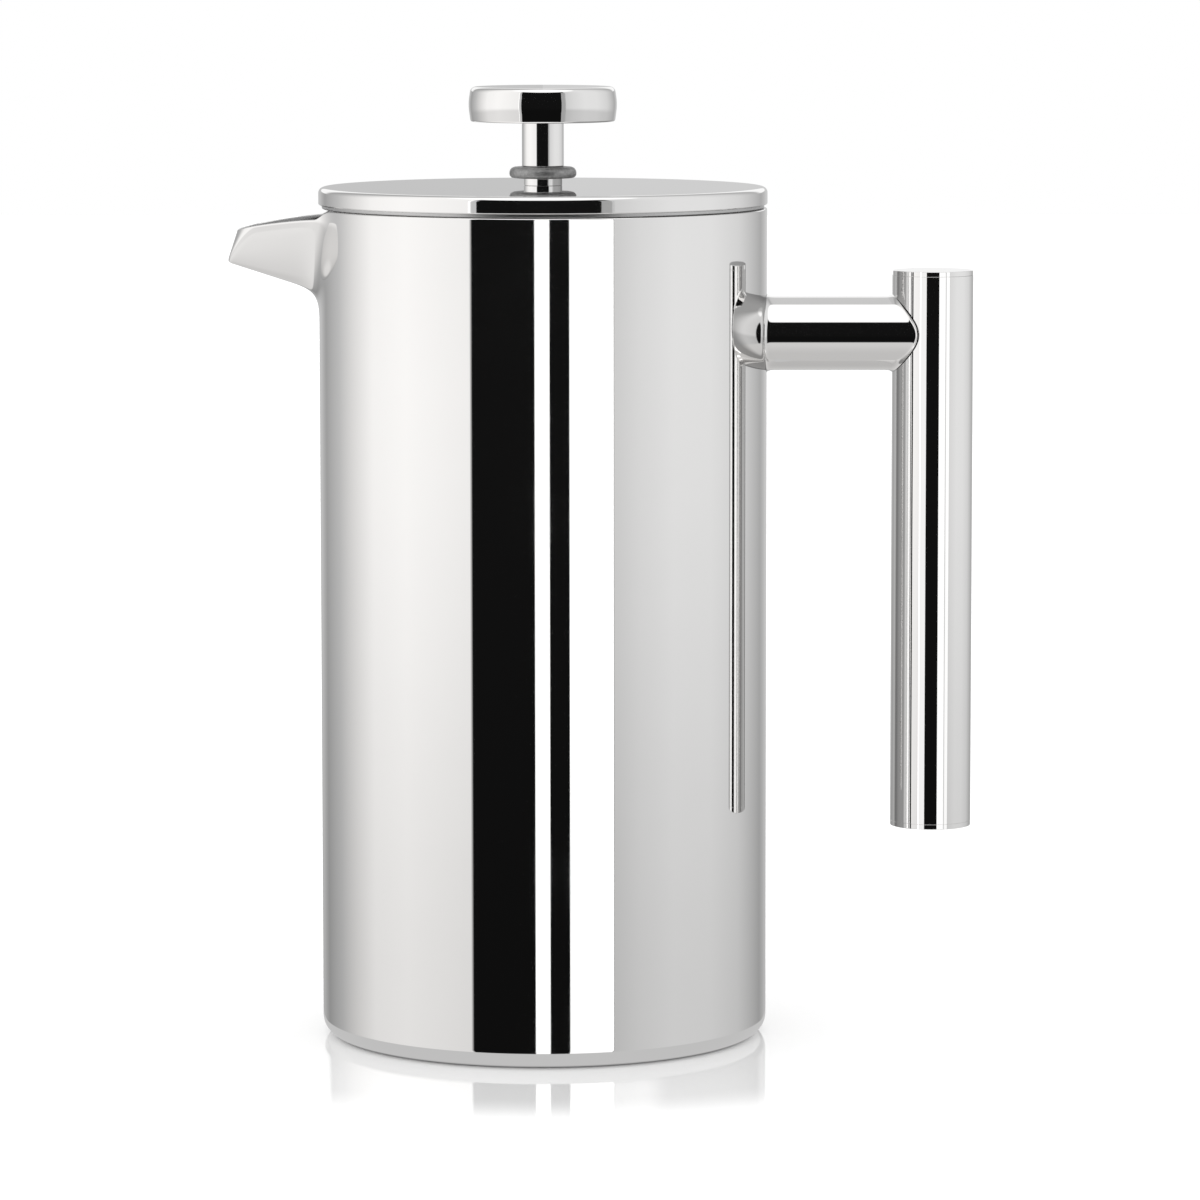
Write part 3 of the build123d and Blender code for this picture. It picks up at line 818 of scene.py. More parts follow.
@dataclass
class Jug:
    """The double-walled jug: polished outer wall and spout, brushed liner and base plate."""

    shop: Workshop
    shell: Extent = field(default_factory=lambda: Extent.of("outer_shell"))
    liner: Extent = field(default_factory=lambda: Extent.of("inner_liner"))
    base: Extent = field(default_factory=lambda: Extent.of("base_plate"))
    wall: float = 0.8
    bottom_corner: float = 4.3
    foot_inner: float = 40.0
    spout_from: float = 164.0  # height where the spout's patch of wall starts
    spout_span: float = math.radians(33.0)  # half angle of that patch
    patch_steps: int = 180  # sections over the patch
    rest_steps: int = 180  # and over the rest of the wall
    lip_fall: float = 2.5  # the rim has dipped to the spout's lip once the wall is this far out
    lip_top: float = 193.15  # the lip's height where it leaves the wall
    lip_slope: float = 0.0709
    lip_bow: float = 0.00361
    liner_bore: float = 47.4
    liner_sheet: float = 0.6
    liner_corner: float = 5.0
    liner_roll: float = 2.0

    def angles(self) -> np.ndarray:
        """Angles of the sections round the jug, close together over the spout.

        Returns:
            Angles from the spout's direction, as a column.
        """
        span = self.spout_span
        patch = np.linspace(-span, span, self.patch_steps + 1)
        rest = np.linspace(span, 2 * np.pi - span, self.rest_steps + 1)[1:-1]
        return np.concatenate([patch, rest])[:, None]

    def rim(self, skin: PressedWall, angle: np.ndarray) -> np.ndarray:
        """Height of the jug's edge at each angle.

        The rim is level. Where the wall leaves the cylinder it dips, by a smooth step in how far
        out the wall is, to the spout's lip, a parabola in side view.

        Args:
            skin: the outer wall.
            angle: angles from the spout's direction.
        Returns:
            The edge's height.
        """
        level = self.shell.top
        height = np.full(angle.shape, level - 2.0)
        for _ in range(4):
            reach = skin.reach(angle, height)
            out = np.maximum(reach * np.cos(angle) - skin.spout.root, 0)
            lip = self.lip_top - self.lip_slope * out - self.lip_bow * out**2
            share = np.clip((reach - skin.radius) / self.lip_fall, 0, 1)
            share = share * share * (3 - 2 * share)
            height = level + (lip - level) * share
        return height

    def build(self) -> None:
        """Make every piece of the jug but its handle."""
        self.make_walls()
        self.make_liner()
        self.make_base()

    def make_walls(self) -> None:
        """Make the outer wall and the spout, two pieces of one flowing sheet.

        Rows run up the outside, over a half-round edge and down the inside. Over the patch round
        the spout they belong to the spout, and elsewhere to the wall.
        """
        skin = PressedWall(self.shell.radius)
        angle = self.angles()
        corner, wall, radius = self.bottom_corner, self.wall, self.shell.radius
        foot = rounded_outline(
            [(self.foot_inner, 0, 0), (radius, 0, corner), (radius, self.spout_from, 0)], closed=False, arc=24
        )
        cos, sin = -np.cos(angle), -np.sin(angle)
        foot_points = self.carry(foot.points, cos, sin)
        foot_normals = self.carry(foot.normals, cos, sin)
        edge = self.rim(skin, angle)
        share = np.linspace(0, 1, 84)[None, :]
        height = self.spout_from + (edge - wall / 2 - self.spout_from) * share
        points, normals = skin.place(angle, height)
        up = np.gradient(points, axis=1)[:, -1]
        up = up / np.linalg.norm(up, axis=-1, keepdims=True)
        out = normals[:, -1]
        swing = np.linspace(0, np.pi, 9)[None, 1:-1, None]
        lip_normals = out[:, None] * np.cos(swing) + up[:, None] * np.sin(swing)
        lip = points[:, -1:] - out[:, None] * wall / 2 + lip_normals * wall / 2
        inner = points - wall * normals
        foot_inner = foot_points - wall * foot_normals
        rows = [foot_points[:, :-1], points, lip, inner[:, ::-1], foot_inner[:, -2::-1]]
        turns = [foot_normals[:, :-1], normals, lip_normals, -normals[:, ::-1], -foot_normals[:, -2::-1]]
        grid = np.concatenate(rows, 1)
        facing = np.concatenate(turns, 1)
        columns = grid.shape[1]
        first = foot_points.shape[1] - 1
        last = first + points.shape[1] * 2 + lip.shape[1]
        face_row = np.arange(grid.shape[0])[:, None] + 0 * np.arange(columns)[None]
        face_column = np.arange(columns)[None] + 0 * face_row
        patch = (face_row < self.patch_steps) & (face_column >= first) & (face_column < last - 1)
        ends = self.closing_faces(columns, first, last)
        shell = surface_mesh("jug_wall", grid, facing, (True, True), ~patch, ends)
        spout = surface_mesh("spout_trough", grid, facing, (True, True), patch, ends[:, ::-1])
        self.shop.fit(shell, "jug", self.shop.polished, Slot.POLISHED, "outer_shell")
        self.shop.fit(spout, "jug", self.shop.polished, Slot.POLISHED, "spout")

    def closing_faces(self, columns: int, first: int, last: int) -> np.ndarray:
        """Faces that join the outer and inner skins where the wall and the spout part.

        Column c of the outer skin faces column first + last - 1 - c of the inner one.

        Args:
            columns: columns of the whole grid.
            first: first column of the patch.
            last: column after the patch.
        Returns:
            Quads for the wall, as flat grid indices; the spout takes them turned over.
        """
        column = np.arange(first, (first + last - 1) // 2)
        inner = first + last - 1 - column
        quad = np.stack([column, column + 1, inner - 1, inner], -1)
        row = np.arange(self.patch_steps)
        low, high = row * columns, (row + 1) * columns
        foot = np.stack([high + first, low + first, low + last - 1, high + last - 1], -1)
        return np.concatenate([quad, self.patch_steps * columns + quad[:, ::-1], foot])

    @staticmethod
    def carry(pairs: np.ndarray, cos: np.ndarray, sin: np.ndarray) -> np.ndarray:
        """Carry (radius, height) pairs round the axis, for points or normals alike.

        Args:
            pairs: the pairs of one section, of shape (count, 2).
            cos: X of each section's direction, as a column.
            sin: Y of each section's direction, as a column.
        Returns:
            The grid, with three numbers in the last axis.
        """
        radius, height = pairs[:, 0][None], pairs[:, 1][None]
        return np.stack([radius * cos, radius * sin, height + 0 * cos], -1)

    def make_liner(self) -> None:
        """Make the liner: floor, corner, wall, and the roll that carries it out to the rim.

        In the spout the wall flows out to line the trough, and the roll shrinks to fit.
        """
        outside = PressedWall(self.shell.radius)
        inside = PressedWall(self.liner_bore, inset=1.5, fillet=6.0)
        angle = self.angles()
        cos, sin = -np.cos(angle), -np.sin(angle)
        floor_top = self.liner.bottom + self.liner_sheet
        bowl = rounded_outline(
            [
                (self.liner_bore, self.spout_from, 0),
                (self.liner_bore, floor_top, self.liner_corner),
                (0, floor_top, 0),
            ],
            closed=False,
            arc=12,
        )
        bowl_points = self.carry(bowl.points, cos, sin)
        bowl_normals = self.carry(bowl.normals, cos, sin)
        edge = self.rim(outside, angle)
        outer_reach = outside.reach(angle, edge - self.wall) - 1.02 * self.wall
        near_top = inside.reach(angle, edge - 1.0)
        roll = np.clip((outer_reach - near_top) * 0.9, 0.1, self.liner_roll)
        height = self.spout_from + (edge - roll - self.spout_from) * np.linspace(0, 1, 60)[None, :]
        points, normals = inside.place(angle, height)
        swing = np.linspace(0, np.pi / 2, 7)[None, 1:]
        reach = np.hypot(points[:, -1, 0], points[:, -1, 1])[:, None]
        roll_reach = reach + roll * (1 - np.cos(swing))
        roll_height = edge - roll + roll * np.sin(swing)
        roll_points = np.stack([roll_reach * cos, roll_reach * sin, roll_height], -1)
        roll_normals = np.stack([-np.cos(swing) * cos, -np.cos(swing) * sin, np.sin(swing) + 0 * cos], -1)
        flat_reach = np.maximum(outer_reach, roll_reach[:, -1:])
        flat = np.stack([flat_reach * cos, flat_reach * sin, edge], -1)
        rows = [bowl_points[:, ::-1][:, :-1], points, roll_points, flat]
        turns = [bowl_normals[:, ::-1][:, :-1], -normals, roll_normals, roll_normals[:, -1:]]
        face = np.concatenate(rows, 1)
        facing = np.concatenate(turns, 1)
        facing = facing / np.linalg.norm(facing, axis=-1, keepdims=True)
        back = face - self.liner_sheet * facing
        grid = np.concatenate([face, back[:, ::-1]], 1)
        both = np.concatenate([facing, -facing[:, ::-1]], 1)
        liner = surface_mesh("jug_liner", grid[:, ::-1], both[:, ::-1], (True, False))
        self.shop.fit(liner, "jug", self.shop.hoop_brushed, Slot.BRUSHED, "inner_liner")

    def make_base(self) -> None:
        """Make the base plate: a flush middle, a raised ring and a lap inside the foot."""
        wall = self.wall
        crest = self.base.top - wall
        outline = rounded_outline(
            [
                (0, 0, 0),
                (27.0, 0, 1.2),
                (29.0, crest, 1.2),
                (35.5, crest, 1.2),
                (37.0, wall, 1.2),
                (self.base.radius, wall, 0),
                (self.base.radius, 2 * wall, 0),
                (37.0, 2 * wall, 0.6),
                (35.5, self.base.top, 0.6),
                (29.0, self.base.top, 0.6),
                (27.0, wall, 0.6),
                (0, wall, 0),
            ],
            closed=False,
        )
        plate = turned("base_plate_pressed", outline)
        self.shop.fit(plate, "jug", self.shop.ring_brushed, Slot.BRUSHED, "base_plate")


# ------------------------------------------------------------------ the handle


@dataclass
class Handle:
    """The upright grip tube with its end discs, and the arm that carries it."""

    shop: Workshop
    grip: Extent = field(default_factory=lambda: Extent.of("handle_grip"))
    cap_top: Extent = field(default_factory=lambda: Extent.of("handle_cap_top"))
    cap_bottom: Extent = field(default_factory=lambda: Extent.of("handle_cap_bottom"))
    arm: Extent = field(default_factory=lambda: Extent.of("handle_arm"))
    shell: Extent = field(default_factory=lambda: Extent.of("outer_shell"))
    wall: float = 1.2
    bead: float = 0.5  # weld fillet round the arm's ends
    cap_step: float = 0.02  # how far the end discs stand inside the tube's skin
    cap_seam: float = 0.08  # edge radius at the seam
    cap_edge: float = 0.15  # edge radius at the outer face

    def build(self) -> None:
        """Make the grip, its caps and the arm."""
        self.make_grip()
        self.make_caps()
        self.make_arm()
        self.shop.dress("handle_backing_plate", self.shop.straight_brushed)

    def make_grip(self) -> None:
        """Make the grip tube."""
        radius, low, high = self.grip.radius, self.grip.bottom, self.grip.top
        outline = tube_section(radius - self.wall, radius, low, high, (0, 0.05, 0.05, 0))
        tube = turned("grip_tube", outline, 128, self.grip.centre_x)
        self.shop.fit(tube, "jug", self.shop.polished, Slot.POLISHED, "handle_grip")

    def make_caps(self) -> None:
        """Make the two end discs, with the seam that shows where each meets the tube."""
        radius = self.grip.radius - self.cap_step
        discs = (
            ("grip_cap_top", "handle_cap_top", self.cap_top, (self.cap_seam, self.cap_edge)),
            ("grip_cap_bottom", "handle_cap_bottom", self.cap_bottom, (self.cap_edge, self.cap_seam)),
        )
        for name, node, place, rounds in discs:
            outline = disc_section(radius, place.bottom, place.top, rounds)
            disc = turned(name, outline, 128, self.grip.centre_x)
            self.shop.fit(disc, "jug", self.shop.polished, Slot.SATIN, node)

    def make_arm(self) -> None:
        """Make the arm: a tube along X, coped to the jug at one end and to the grip at the other.

        At angle a round the arm, a skin of radius r runs from sqrt(R^2 - y^2) to the grip's axis
        less sqrt(G^2 - y^2), with y = r sin a. Near each end the skin swells by a small weld bead,
        as bead exp(-distance / bead).
        """
        radius = (self.arm.high[2] - self.arm.low[2]) / 2
        middle = (self.arm.high[2] + self.arm.low[2]) / 2
        angle = np.linspace(0, 2 * np.pi, 128, endpoint=False)[:, None]
        close = 0.12 * np.linspace(0, 1, 13) ** 2
        lengths = np.concatenate([close, [0.5], 1 - close[::-1]])
        outer = self.arm_skin(radius, angle, lengths, middle, self.bead)
        inner = self.arm_skin(radius - self.wall, angle, lengths[::-1], middle, 0.0)
        points = np.concatenate([outer[0], inner[0]], 1)
        normals = np.concatenate([outer[1], -inner[1]], 1)
        tube = surface_mesh("handle_arm_tube", points[:, ::-1], normals[:, ::-1], (True, True))
        self.shop.fit(tube, "jug", self.shop.polished, Slot.POLISHED, "handle_arm")

    def arm_skin(
        self, radius: float, angle: np.ndarray, lengths: np.ndarray, middle: float, bead: float
    ) -> tuple[np.ndarray, np.ndarray]:
        """One skin of the arm.

        Args:
            radius: the skin's radius.
            angle: angles round the arm, as a column.
            lengths: places along the arm, from 0 at the jug to 1 at the grip.
            middle: height of the arm's axis.
            bead: size of the weld bead.
        Returns:
            Points and normals.
        """
        side = radius * np.sin(angle)
        start = np.sqrt(self.shell.radius**2 - side**2)
        end = self.grip.centre_x - np.sqrt(self.grip.radius**2 - side**2)
        x = start + (end - start) * lengths[None, :]
        from_start = x - start
        from_end = end - x
        size = max(bead, 0.05)
        swell = bead * (np.exp(-from_start / size) + np.exp(-from_end / size))
        tilt = bead / size * (np.exp(-from_start / size) - np.exp(-from_end / size))
        out = radius + swell
        points = np.stack([x, out * np.sin(angle), middle + out * np.cos(angle)], -1)
        normals = np.stack([tilt, np.sin(angle) + 0 * x, np.cos(angle) + 0 * x], -1)
        return points, normals / np.linalg.norm(normals, axis=-1, keepdims=True)


# ------------------------------------------------------------------ the lid


@dataclass
class Lid:
    """The polished lid, the pan under it and the rod's guide."""

    shop: Workshop
    cap: Extent = field(default_factory=lambda: Extent.of("lid_cap"))
    pan: Extent = field(default_factory=lambda: Extent.of("lid_pan"))
    guide: Extent = field(default_factory=lambda: Extent.of("rod_guide"))
    shank: float = 4.1
    neck: float = 4.5
    bore: float = 3.3
    sheet: float = 0.8
    crown: float = 0.35  # how much the top rises from its edge to its middle
    middle: float = 13.0
    collar_foot: float = 202.2
    edge: float = 1.3

    def build(self) -> None:
        """Make the lid's pieces."""
        self.make_cap()
        self.make_pan()
        self.make_guide()
        self.shop.dress("guide_washer", self.shop.ring_brushed)
        self.shop.dress("guide_nut", self.shop.straight_brushed)
        self.shop.dress("guide_bush", self.shop.bush)

    def make_cap(self) -> None:
        """Make the lid: a rolled edge and a top that rises very slightly to its middle."""
        radius, low, sheet = self.cap.radius, self.cap.bottom, self.sheet
        crest = self.cap.top
        deck = crest - self.crown
        outline = rounded_outline(
            [
                (radius - sheet, low, 0.25),
                (radius, low, 0.3),
                (radius, deck, self.edge),
                (self.middle, crest, 60.0),
                (self.shank, crest, 0),
                (self.shank, crest - sheet, 0),
                (self.middle, crest - sheet, 60.0),
                (radius - sheet, deck - sheet, 0.5),
            ],
            arc=12,
        )
        cap = turned("lid_shell", outline, 256)
        self.shop.fit(cap, "lid", self.shop.polished, Slot.POLISHED, "lid_cap")

    def make_pan(self) -> None:
        """Make the pan: a floor, a skirt inside the mouth, a flange on the rim and an upstand."""
        sheet = 0.6
        skirt, flange = 46.9, self.pan.radius
        low, high = self.pan.bottom, self.pan.top
        rim = high - 3.0
        outline = rounded_outline(
            [
                (self.shank, low, 0),
                (skirt, low, 1.0),
                (skirt, rim, 0.3),
                (flange, rim, 0.3),
                (flange, high, 0.1),
                (flange - sheet, high, 0.1),
                (flange - sheet, rim + sheet, 0.2),
                (skirt - sheet, rim + sheet, 0.5),
                (skirt - sheet, low + sheet, 0.5),
                (self.shank, low + sheet, 0),
            ]
        )
        pan = turned("lid_underpan", outline, 224)
        self.shop.fit(pan, "lid", self.shop.hoop_brushed, Slot.BRUSHED, "lid_pan")

    def make_guide(self) -> None:
        """Make the guide: a collar on a short neck, and a shank down through the lid."""
        collar, foot, top = self.guide.radius, self.collar_foot, self.guide.top
        outline = rounded_outline(
            [
                (self.bore, self.guide.bottom, 0.2),
                (self.shank, self.guide.bottom, 0.4),
                (self.shank, self.cap.top, 0),
                (self.neck, self.cap.top, 0.1),
                (self.neck, foot, 0.2),
                (collar, foot, 1.0),
                (collar, top, 1.4),
                (self.bore, top, 0.2),
            ],
            arc=9,
        )
        guide = turned("rod_guide_collar", outline, 128)
        self.shop.fit(guide, "lid", self.shop.collar_satin, Slot.SATIN, "rod_guide")
        guide.data.materials.append(self.shop.polished)
        centres = np.empty(len(guide.data.polygons) * 3)
        guide.data.polygons.foreach_get("center", centres)
        reach = np.hypot(centres[0::3], centres[1::3]) / MM
        guide.data.polygons.foreach_set("material_index", (reach < self.neck + 0.1).astype(np.int32))


# ------------------------------------------------------------------ the plunger


@dataclass
class Knob:
    """The mushroom knob: a shallow drum on a thick stem."""

    shop: Workshop
    cap: Extent = field(default_factory=lambda: Extent.of("knob_cap"))
    base: Extent = field(default_factory=lambda: Extent.of("knob_base"))
    stem: Extent = field(default_factory=lambda: Extent.of("knob_stem"))
    wall: float = 1.0
    bore: float = 2.55
    belly: float = 0.35  # how far the drum's side bows out
    stem_gap: float = 0.03  # keeps the turning stem clear of the collar that it rests on

    def build(self) -> None:
        """Make the knob's pieces."""
        self.make_cap()
        self.make_base()
        self.make_stem()
        self.shop.dress("knob_nut", self.shop.straight_brushed)

    def make_cap(self) -> None:
        """Make the drum. Its side is a long arc, so it bows out a little at mid height."""
        radius, low, high, wall = self.cap.radius, self.cap.bottom, self.cap.top, self.wall
        side = radius - self.belly
        middle = (low + high) / 2
        bow = ((high - low) / 2) ** 2 / (2 * self.belly)
        outline = rounded_outline(
            [
                (side - wall, low, 0.15),
                (side + 0.02, low, 0.5),
                (radius + self.belly * 0.6, middle, bow * 0.55),
                (side - 0.05, high, 1.4),
                (0, high, 0),
                (0, high - wall, 0),
                (side - wall, high - wall, 0.5),
            ],
            closed=False,
            arc=14,
        )
        points = np.concatenate([outline.points, outline.points[:1]])
        normals = np.concatenate([outline.normals, outline.normals[:1]])
        drum = turned("knob_drum", Outline(points, normals, False), 160)
        self.shop.fit(drum, "plunger", self.shop.polished, Slot.POLISHED, "knob_cap")

    def make_base(self) -> None:
        """Make the plate that closes the drum."""
        reach = self.cap.radius - self.belly - self.wall
        low, high = self.base.bottom, self.base.top
        outline = tube_section(self.bore, reach, low, high, (0.1, 0.1, 0.1, 0.1))
        plate = turned("knob_underplate", outline, 160)
        self.shop.fit(plate, "plunger", self.shop.polished, Slot.POLISHED, "knob_base")

    def make_stem(self) -> None:
        """Make the stem between the drum and the lid."""
        radius, low, high = self.stem.radius, self.stem.bottom + self.stem_gap, self.stem.top
        outline = tube_section(self.bore, radius, low, high, (0.1, 0.3, 0.05, 0.05))
        stem = turned("knob_stem_tube", outline, 128)
        self.shop.fit(stem, "plunger", self.shop.polished, Slot.POLISHED, "knob_stem")


@dataclass
class Filter:
    """The rod and the filter stack on its lower end."""

    shop: Workshop
    rod: Extent = field(default_factory=lambda: Extent.of("plunger_rod"))
    screen: Extent = field(default_factory=lambda: Extent.of("mesh_screen"))
    spring: Extent = field(default_factory=lambda: Extent.of("edge_spring"))
    hub: Extent = field(default_factory=lambda: Extent.of("cross_hub"))
    screen_sheet: float = 0.4
    hub_radius: float = 5.0
    hub_bore: float = 2.55
    hub_flange: float = 0.9
    wire: float = 0.42  # radius of the spring's wire
    turns: int = 104

    def build(self) -> None:
        """Make the filter's pieces."""
        self.make_rod()
        self.make_screen()
        self.make_spring()
        self.make_hub()
        self.shop.dress("spiral_plate", self.shop.ring_brushed)
        self.shop.dress("cross_plate", self.shop.ring_brushed)
        self.shop.dress("rod_lock_nut", self.shop.straight_brushed)

    def make_rod(self) -> None:
        """Make the plunger's rod."""
        radius, low, high = self.rod.radius, self.rod.bottom, self.rod.top
        rod = turned("plunger_rod_bar", disc_section(radius, low, high, (0.4, 0.4)), 64)
        self.shop.fit(rod, "plunger", self.shop.polished, Slot.POLISHED, "plunger_rod")

    def make_screen(self) -> None:
        """Make the woven screen: a dish whose edge turns up round the spring."""
        radius, low, high, sheet = self.screen.radius, self.screen.bottom, self.screen.top, self.screen_sheet
        outline = rounded_outline(
            [
                (self.hub_radius, low, 0),
                (radius, low, 1.2),
                (radius, high, 0.15),
                (radius - sheet, high, 0.15),
                (radius - sheet, low + sheet, 0.8),
                (self.hub_radius, low + sheet, 0),
            ],
            arc=7,
        )
        dish = turned("woven_screen", outline, 192)
        self.shop.fit(dish, "plunger", self.shop.mesh, Slot.MESH, "mesh_screen")

    def make_spring(self) -> None:
        """Make the edge spring: a coil of wire bent into a ring.

        The wire's line is the ring's circle plus a smaller circle that goes round it, turns times:
        (R + c cos nt) outward and c sin nt upward. The wire's section is a circle about that line,
        across its tangent.
        """
        middle = (self.spring.bottom + self.spring.top) / 2
        coil = (self.spring.top - self.spring.bottom) / 2 - self.wire
        ring = self.spring.radius - coil - self.wire
        t = np.linspace(0, 2 * np.pi, self.turns * 14, endpoint=False)
        phase = self.turns * t
        out = np.stack([np.cos(t), np.sin(t), 0 * t], -1)
        round_ = np.stack([-np.sin(t), np.cos(t), 0 * t], -1)
        up = np.stack([0 * t, 0 * t, 1 + 0 * t], -1)
        radial = out * np.cos(phase)[:, None] + up * np.sin(phase)[:, None]
        line = ring * out + coil * radial + middle * up
        swirl = -out * np.sin(phase)[:, None] + up * np.cos(phase)[:, None]
        tangent = self.turns * coil * swirl + (ring + coil * np.cos(phase))[:, None] * round_
        tangent = tangent / np.linalg.norm(tangent, axis=1, keepdims=True)
        across = np.cross(radial, tangent)
        around = np.linspace(0, 2 * np.pi, 6, endpoint=False)[None, :, None]
        normals = radial[:, None] * np.cos(around) + across[:, None] * np.sin(around)
        points = line[:, None] + self.wire * normals
        spring = surface_mesh("edge_spring_coil", points, normals, (True, True))
        self.shop.fit(spring, "plunger", self.shop.spring_wire, Slot.WIRE, "edge_spring")

    def make_hub(self) -> None:
        """Make the hub that clamps the stack to the rod."""
        flange, low, high, bore = self.hub.radius, self.hub.bottom, self.hub.top, self.hub_bore
        seat = low + self.hub_flange
        outline = rounded_outline(
            [
                (0, low, 0),
                (flange, low, 0.4),
                (flange, seat, 0.1),
                (self.hub_radius, seat, 0.1),
                (self.hub_radius, high, 0.3),
                (bore, high, 0.1),
                (bore, seat + 0.2, 0.1),
                (0, seat + 0.2, 0),
            ],
            closed=False,
        )
        hub = turned("cross_hub_turned", outline, 64)
        self.shop.fit(hub, "plunger", self.shop.hoop_brushed, Slot.BRUSHED, "cross_hub")


# ------------------------------------------------------------------ studio


@dataclass(frozen=True)
class Sector:
    """A range of directions: azimuth from the camera, positive to the right, and elevation."""

    left: float
    right: float
    low: float = -32.0
    high: float = 28.0


@dataclass
class Studio:
    """White room with dark and bright flags, a pale floor and the camera."""

    facing: float = 1.0  # camera's azimuth, in degrees towards the handle
    distance: float = 1.4135
    height: float = 0.2616
    pitch: float = 6.415
    yaw: float = 0.538
    roll: float = -0.054
    lens: float = 180.78
    card_distance: float = 2.6
    card_middle: float = 100.0  # height, in millimetres, from which elevations are counted
    edge: float = 0.35  # softness of a flag's edge, in degrees
    floor_half: float = 4.0  # half of the floor's width, in metres
    mirror_floor: float = 62.0  # radius of the floor that the polished foot mirrors
    floor_edge: tuple[float, float] = (-28.0, -24.0)  # elevations where mirrored walls end
    backlight: float = 1.0
    softbox_height: float = 70.0
    softbox_reach: float = 33.0
    softbox_tone: float = 1.12
    second_bounce: float = 0.45  # how bright the sides stay in a reflection of a reflection
    dome: float = 1.3  # light that falls on matt surfaces
    gloss: float = 0.4  # reflectance of the floor beside the jug

    def build(self, groups: dict[str, list[bpy.types.Object]]) -> None:
        """Make the world, the floor, the camera and the cards.

        Args:
            groups: the pieces that each set of cards is meant for.
        """
        scene = bpy.context.scene
        scene.view_settings.view_transform = "Standard"
        self.make_world(scene)
        self.make_floor()
        self.make_camera(scene)
        jug, top, grip = groups["jug"], groups["top"], groups["grip"]
        self.make_card("card_jug_middle", Sector(-4.4, 3.1), 1.15, jug)
        self.make_card("card_jug_right", Sector(13.0, 35.6), 1.15, jug)
        self.make_card("card_top_left", Sector(-37.9, -33.6), 0.55, top)
        self.make_card("card_top_right", Sector(29.4, 35.6), 0.38, top)
        self.make_card("card_grip_left", Sector(-37.9, -19.0), 0.95, grip)
        self.make_card("card_grip_right", Sector(17.0, 35.6), 1.1, grip)
        self.make_card("card_grip_far", Sector(35.6, 47.0), 0.45, grip)
        self.make_card("card_grip_top", Sector(160.0, 200.0, -4.0, 12.0), 0.3, groups["grip_top"])

    def make_camera(self, scene: bpy.types.Scene) -> None:
        """Make the camera: a long lens a little above the lid, looking slightly down.

        Args:
            scene: the scene that gets the camera.
        """
        data = bpy.data.cameras.new("camera")
        data.lens = self.lens
        data.sensor_width = 36.0
        data.clip_end = 50.0
        camera = bpy.data.objects.new("camera", data)
        scene.collection.objects.link(camera)
        turn = math.radians(self.facing)
        x, y = self.distance * math.sin(turn), -self.distance * math.cos(turn)
        place = Matrix.Translation((x, y, self.height))
        heading = Matrix.Rotation(turn - math.radians(self.yaw), 4, "Z")
        tilt = Matrix.Rotation(math.radians(90 - self.pitch), 4, "X")
        camera.matrix_world = place @ heading @ tilt @ Matrix.Rotation(math.radians(self.roll), 4, "Z")
        scene.camera = camera

    def make_world(self, scene: bpy.types.Scene) -> None:
        """Make the surroundings, as a function of direction.

        Azimuth picks from the ramp of the walls. Above, a round soft box takes over, and below, the
        floor's tone. Low in the back there is a glow that the floor mirrors. A reflection of a
        reflection is darker to the right. The camera sees plain white, and matt surfaces see an
        even white dome.

        Args:
            scene: the scene that gets the world.
        """
        world = bpy.data.worlds.new("studio")
        world.use_nodes = True
        scene.world = world
        nodes = Nodes(world.node_tree)
        direction = nodes.add("ShaderNodeTexCoord").outputs["Generated"]
        turned_to = nodes.add(
            "ShaderNodeVectorRotate",
            {"Vector": direction, "Axis": (0, 0, 1), "Angle": -math.radians(self.facing)},
            rotation_type="AXIS_ANGLE",
        ).outputs[0]
        x, y, z = nodes.add("ShaderNodeSeparateXYZ", {0: turned_to}).outputs
        azimuth = nodes.maths("ARCTAN2", x, nodes.maths("MULTIPLY", y, -1.0))
        turn = nodes.maths("MULTIPLY_ADD", azimuth, 1 / (2 * math.pi), 0.5)
        elevation = nodes.maths("MULTIPLY", nodes.maths("ARCSINE", z), 180 / math.pi)
        walls = nodes.scaled(nodes.ramp(turn, self.wall_stops()), nodes.step(elevation, -11, -4, 0.79, 1))
        floor = nodes.scaled(nodes.ramp(turn, self.floor_stops()), nodes.step(elevation, -65, -28, 0.85, 1))
        room = nodes.colour_mix(nodes.step(elevation, *self.floor_edge, 1, 0), walls, floor)
        in_back = nodes.step(y, 0.8, 0.9, 0, 1)
        behind = nodes.maths("MULTIPLY", in_back, nodes.step(elevation, 5.5, 7.0, 0, 1))
        room = nodes.colour_mix(behind, room, grey(self.backlight))
        tilt = math.radians(self.softbox_height)
        box_axis = (0, -math.cos(tilt), math.sin(tilt))
        facing_box = nodes.add("ShaderNodeVectorMath", {0: turned_to, 1: box_axis}, operation="DOT_PRODUCT")
        rim, core = (math.cos(math.radians(self.softbox_reach + soft)) for soft in (2.0, -2.0))
        in_box = nodes.step(facing_box.outputs["Value"], rim, core, 0, 1)
        mirrored = nodes.colour_mix(in_box, room, grey(self.softbox_tone))
        rays = nodes.add("ShaderNodeLightPath")
        again = nodes.maths("GREATER_THAN", rays.outputs["Glossy Depth"], 1.5)
        aside = nodes.step(azimuth, 0.9, 1.2, 0, 1 - self.second_bounce)
        fade = nodes.maths("SUBTRACT", 1.0, nodes.maths("MULTIPLY", again, aside))
        mirrored = nodes.scaled(mirrored, fade)
        plain = nodes.colour_mix(rays.outputs["Is Camera Ray"], grey(self.dome), grey(1.0))
        seen = nodes.colour_mix(rays.outputs["Is Glossy Ray"], plain, mirrored)
        background = nodes.add("ShaderNodeBackground", {"Color": seen, "Strength": 1.0})
        nodes.add("ShaderNodeOutputWorld", {0: background.outputs[0]})

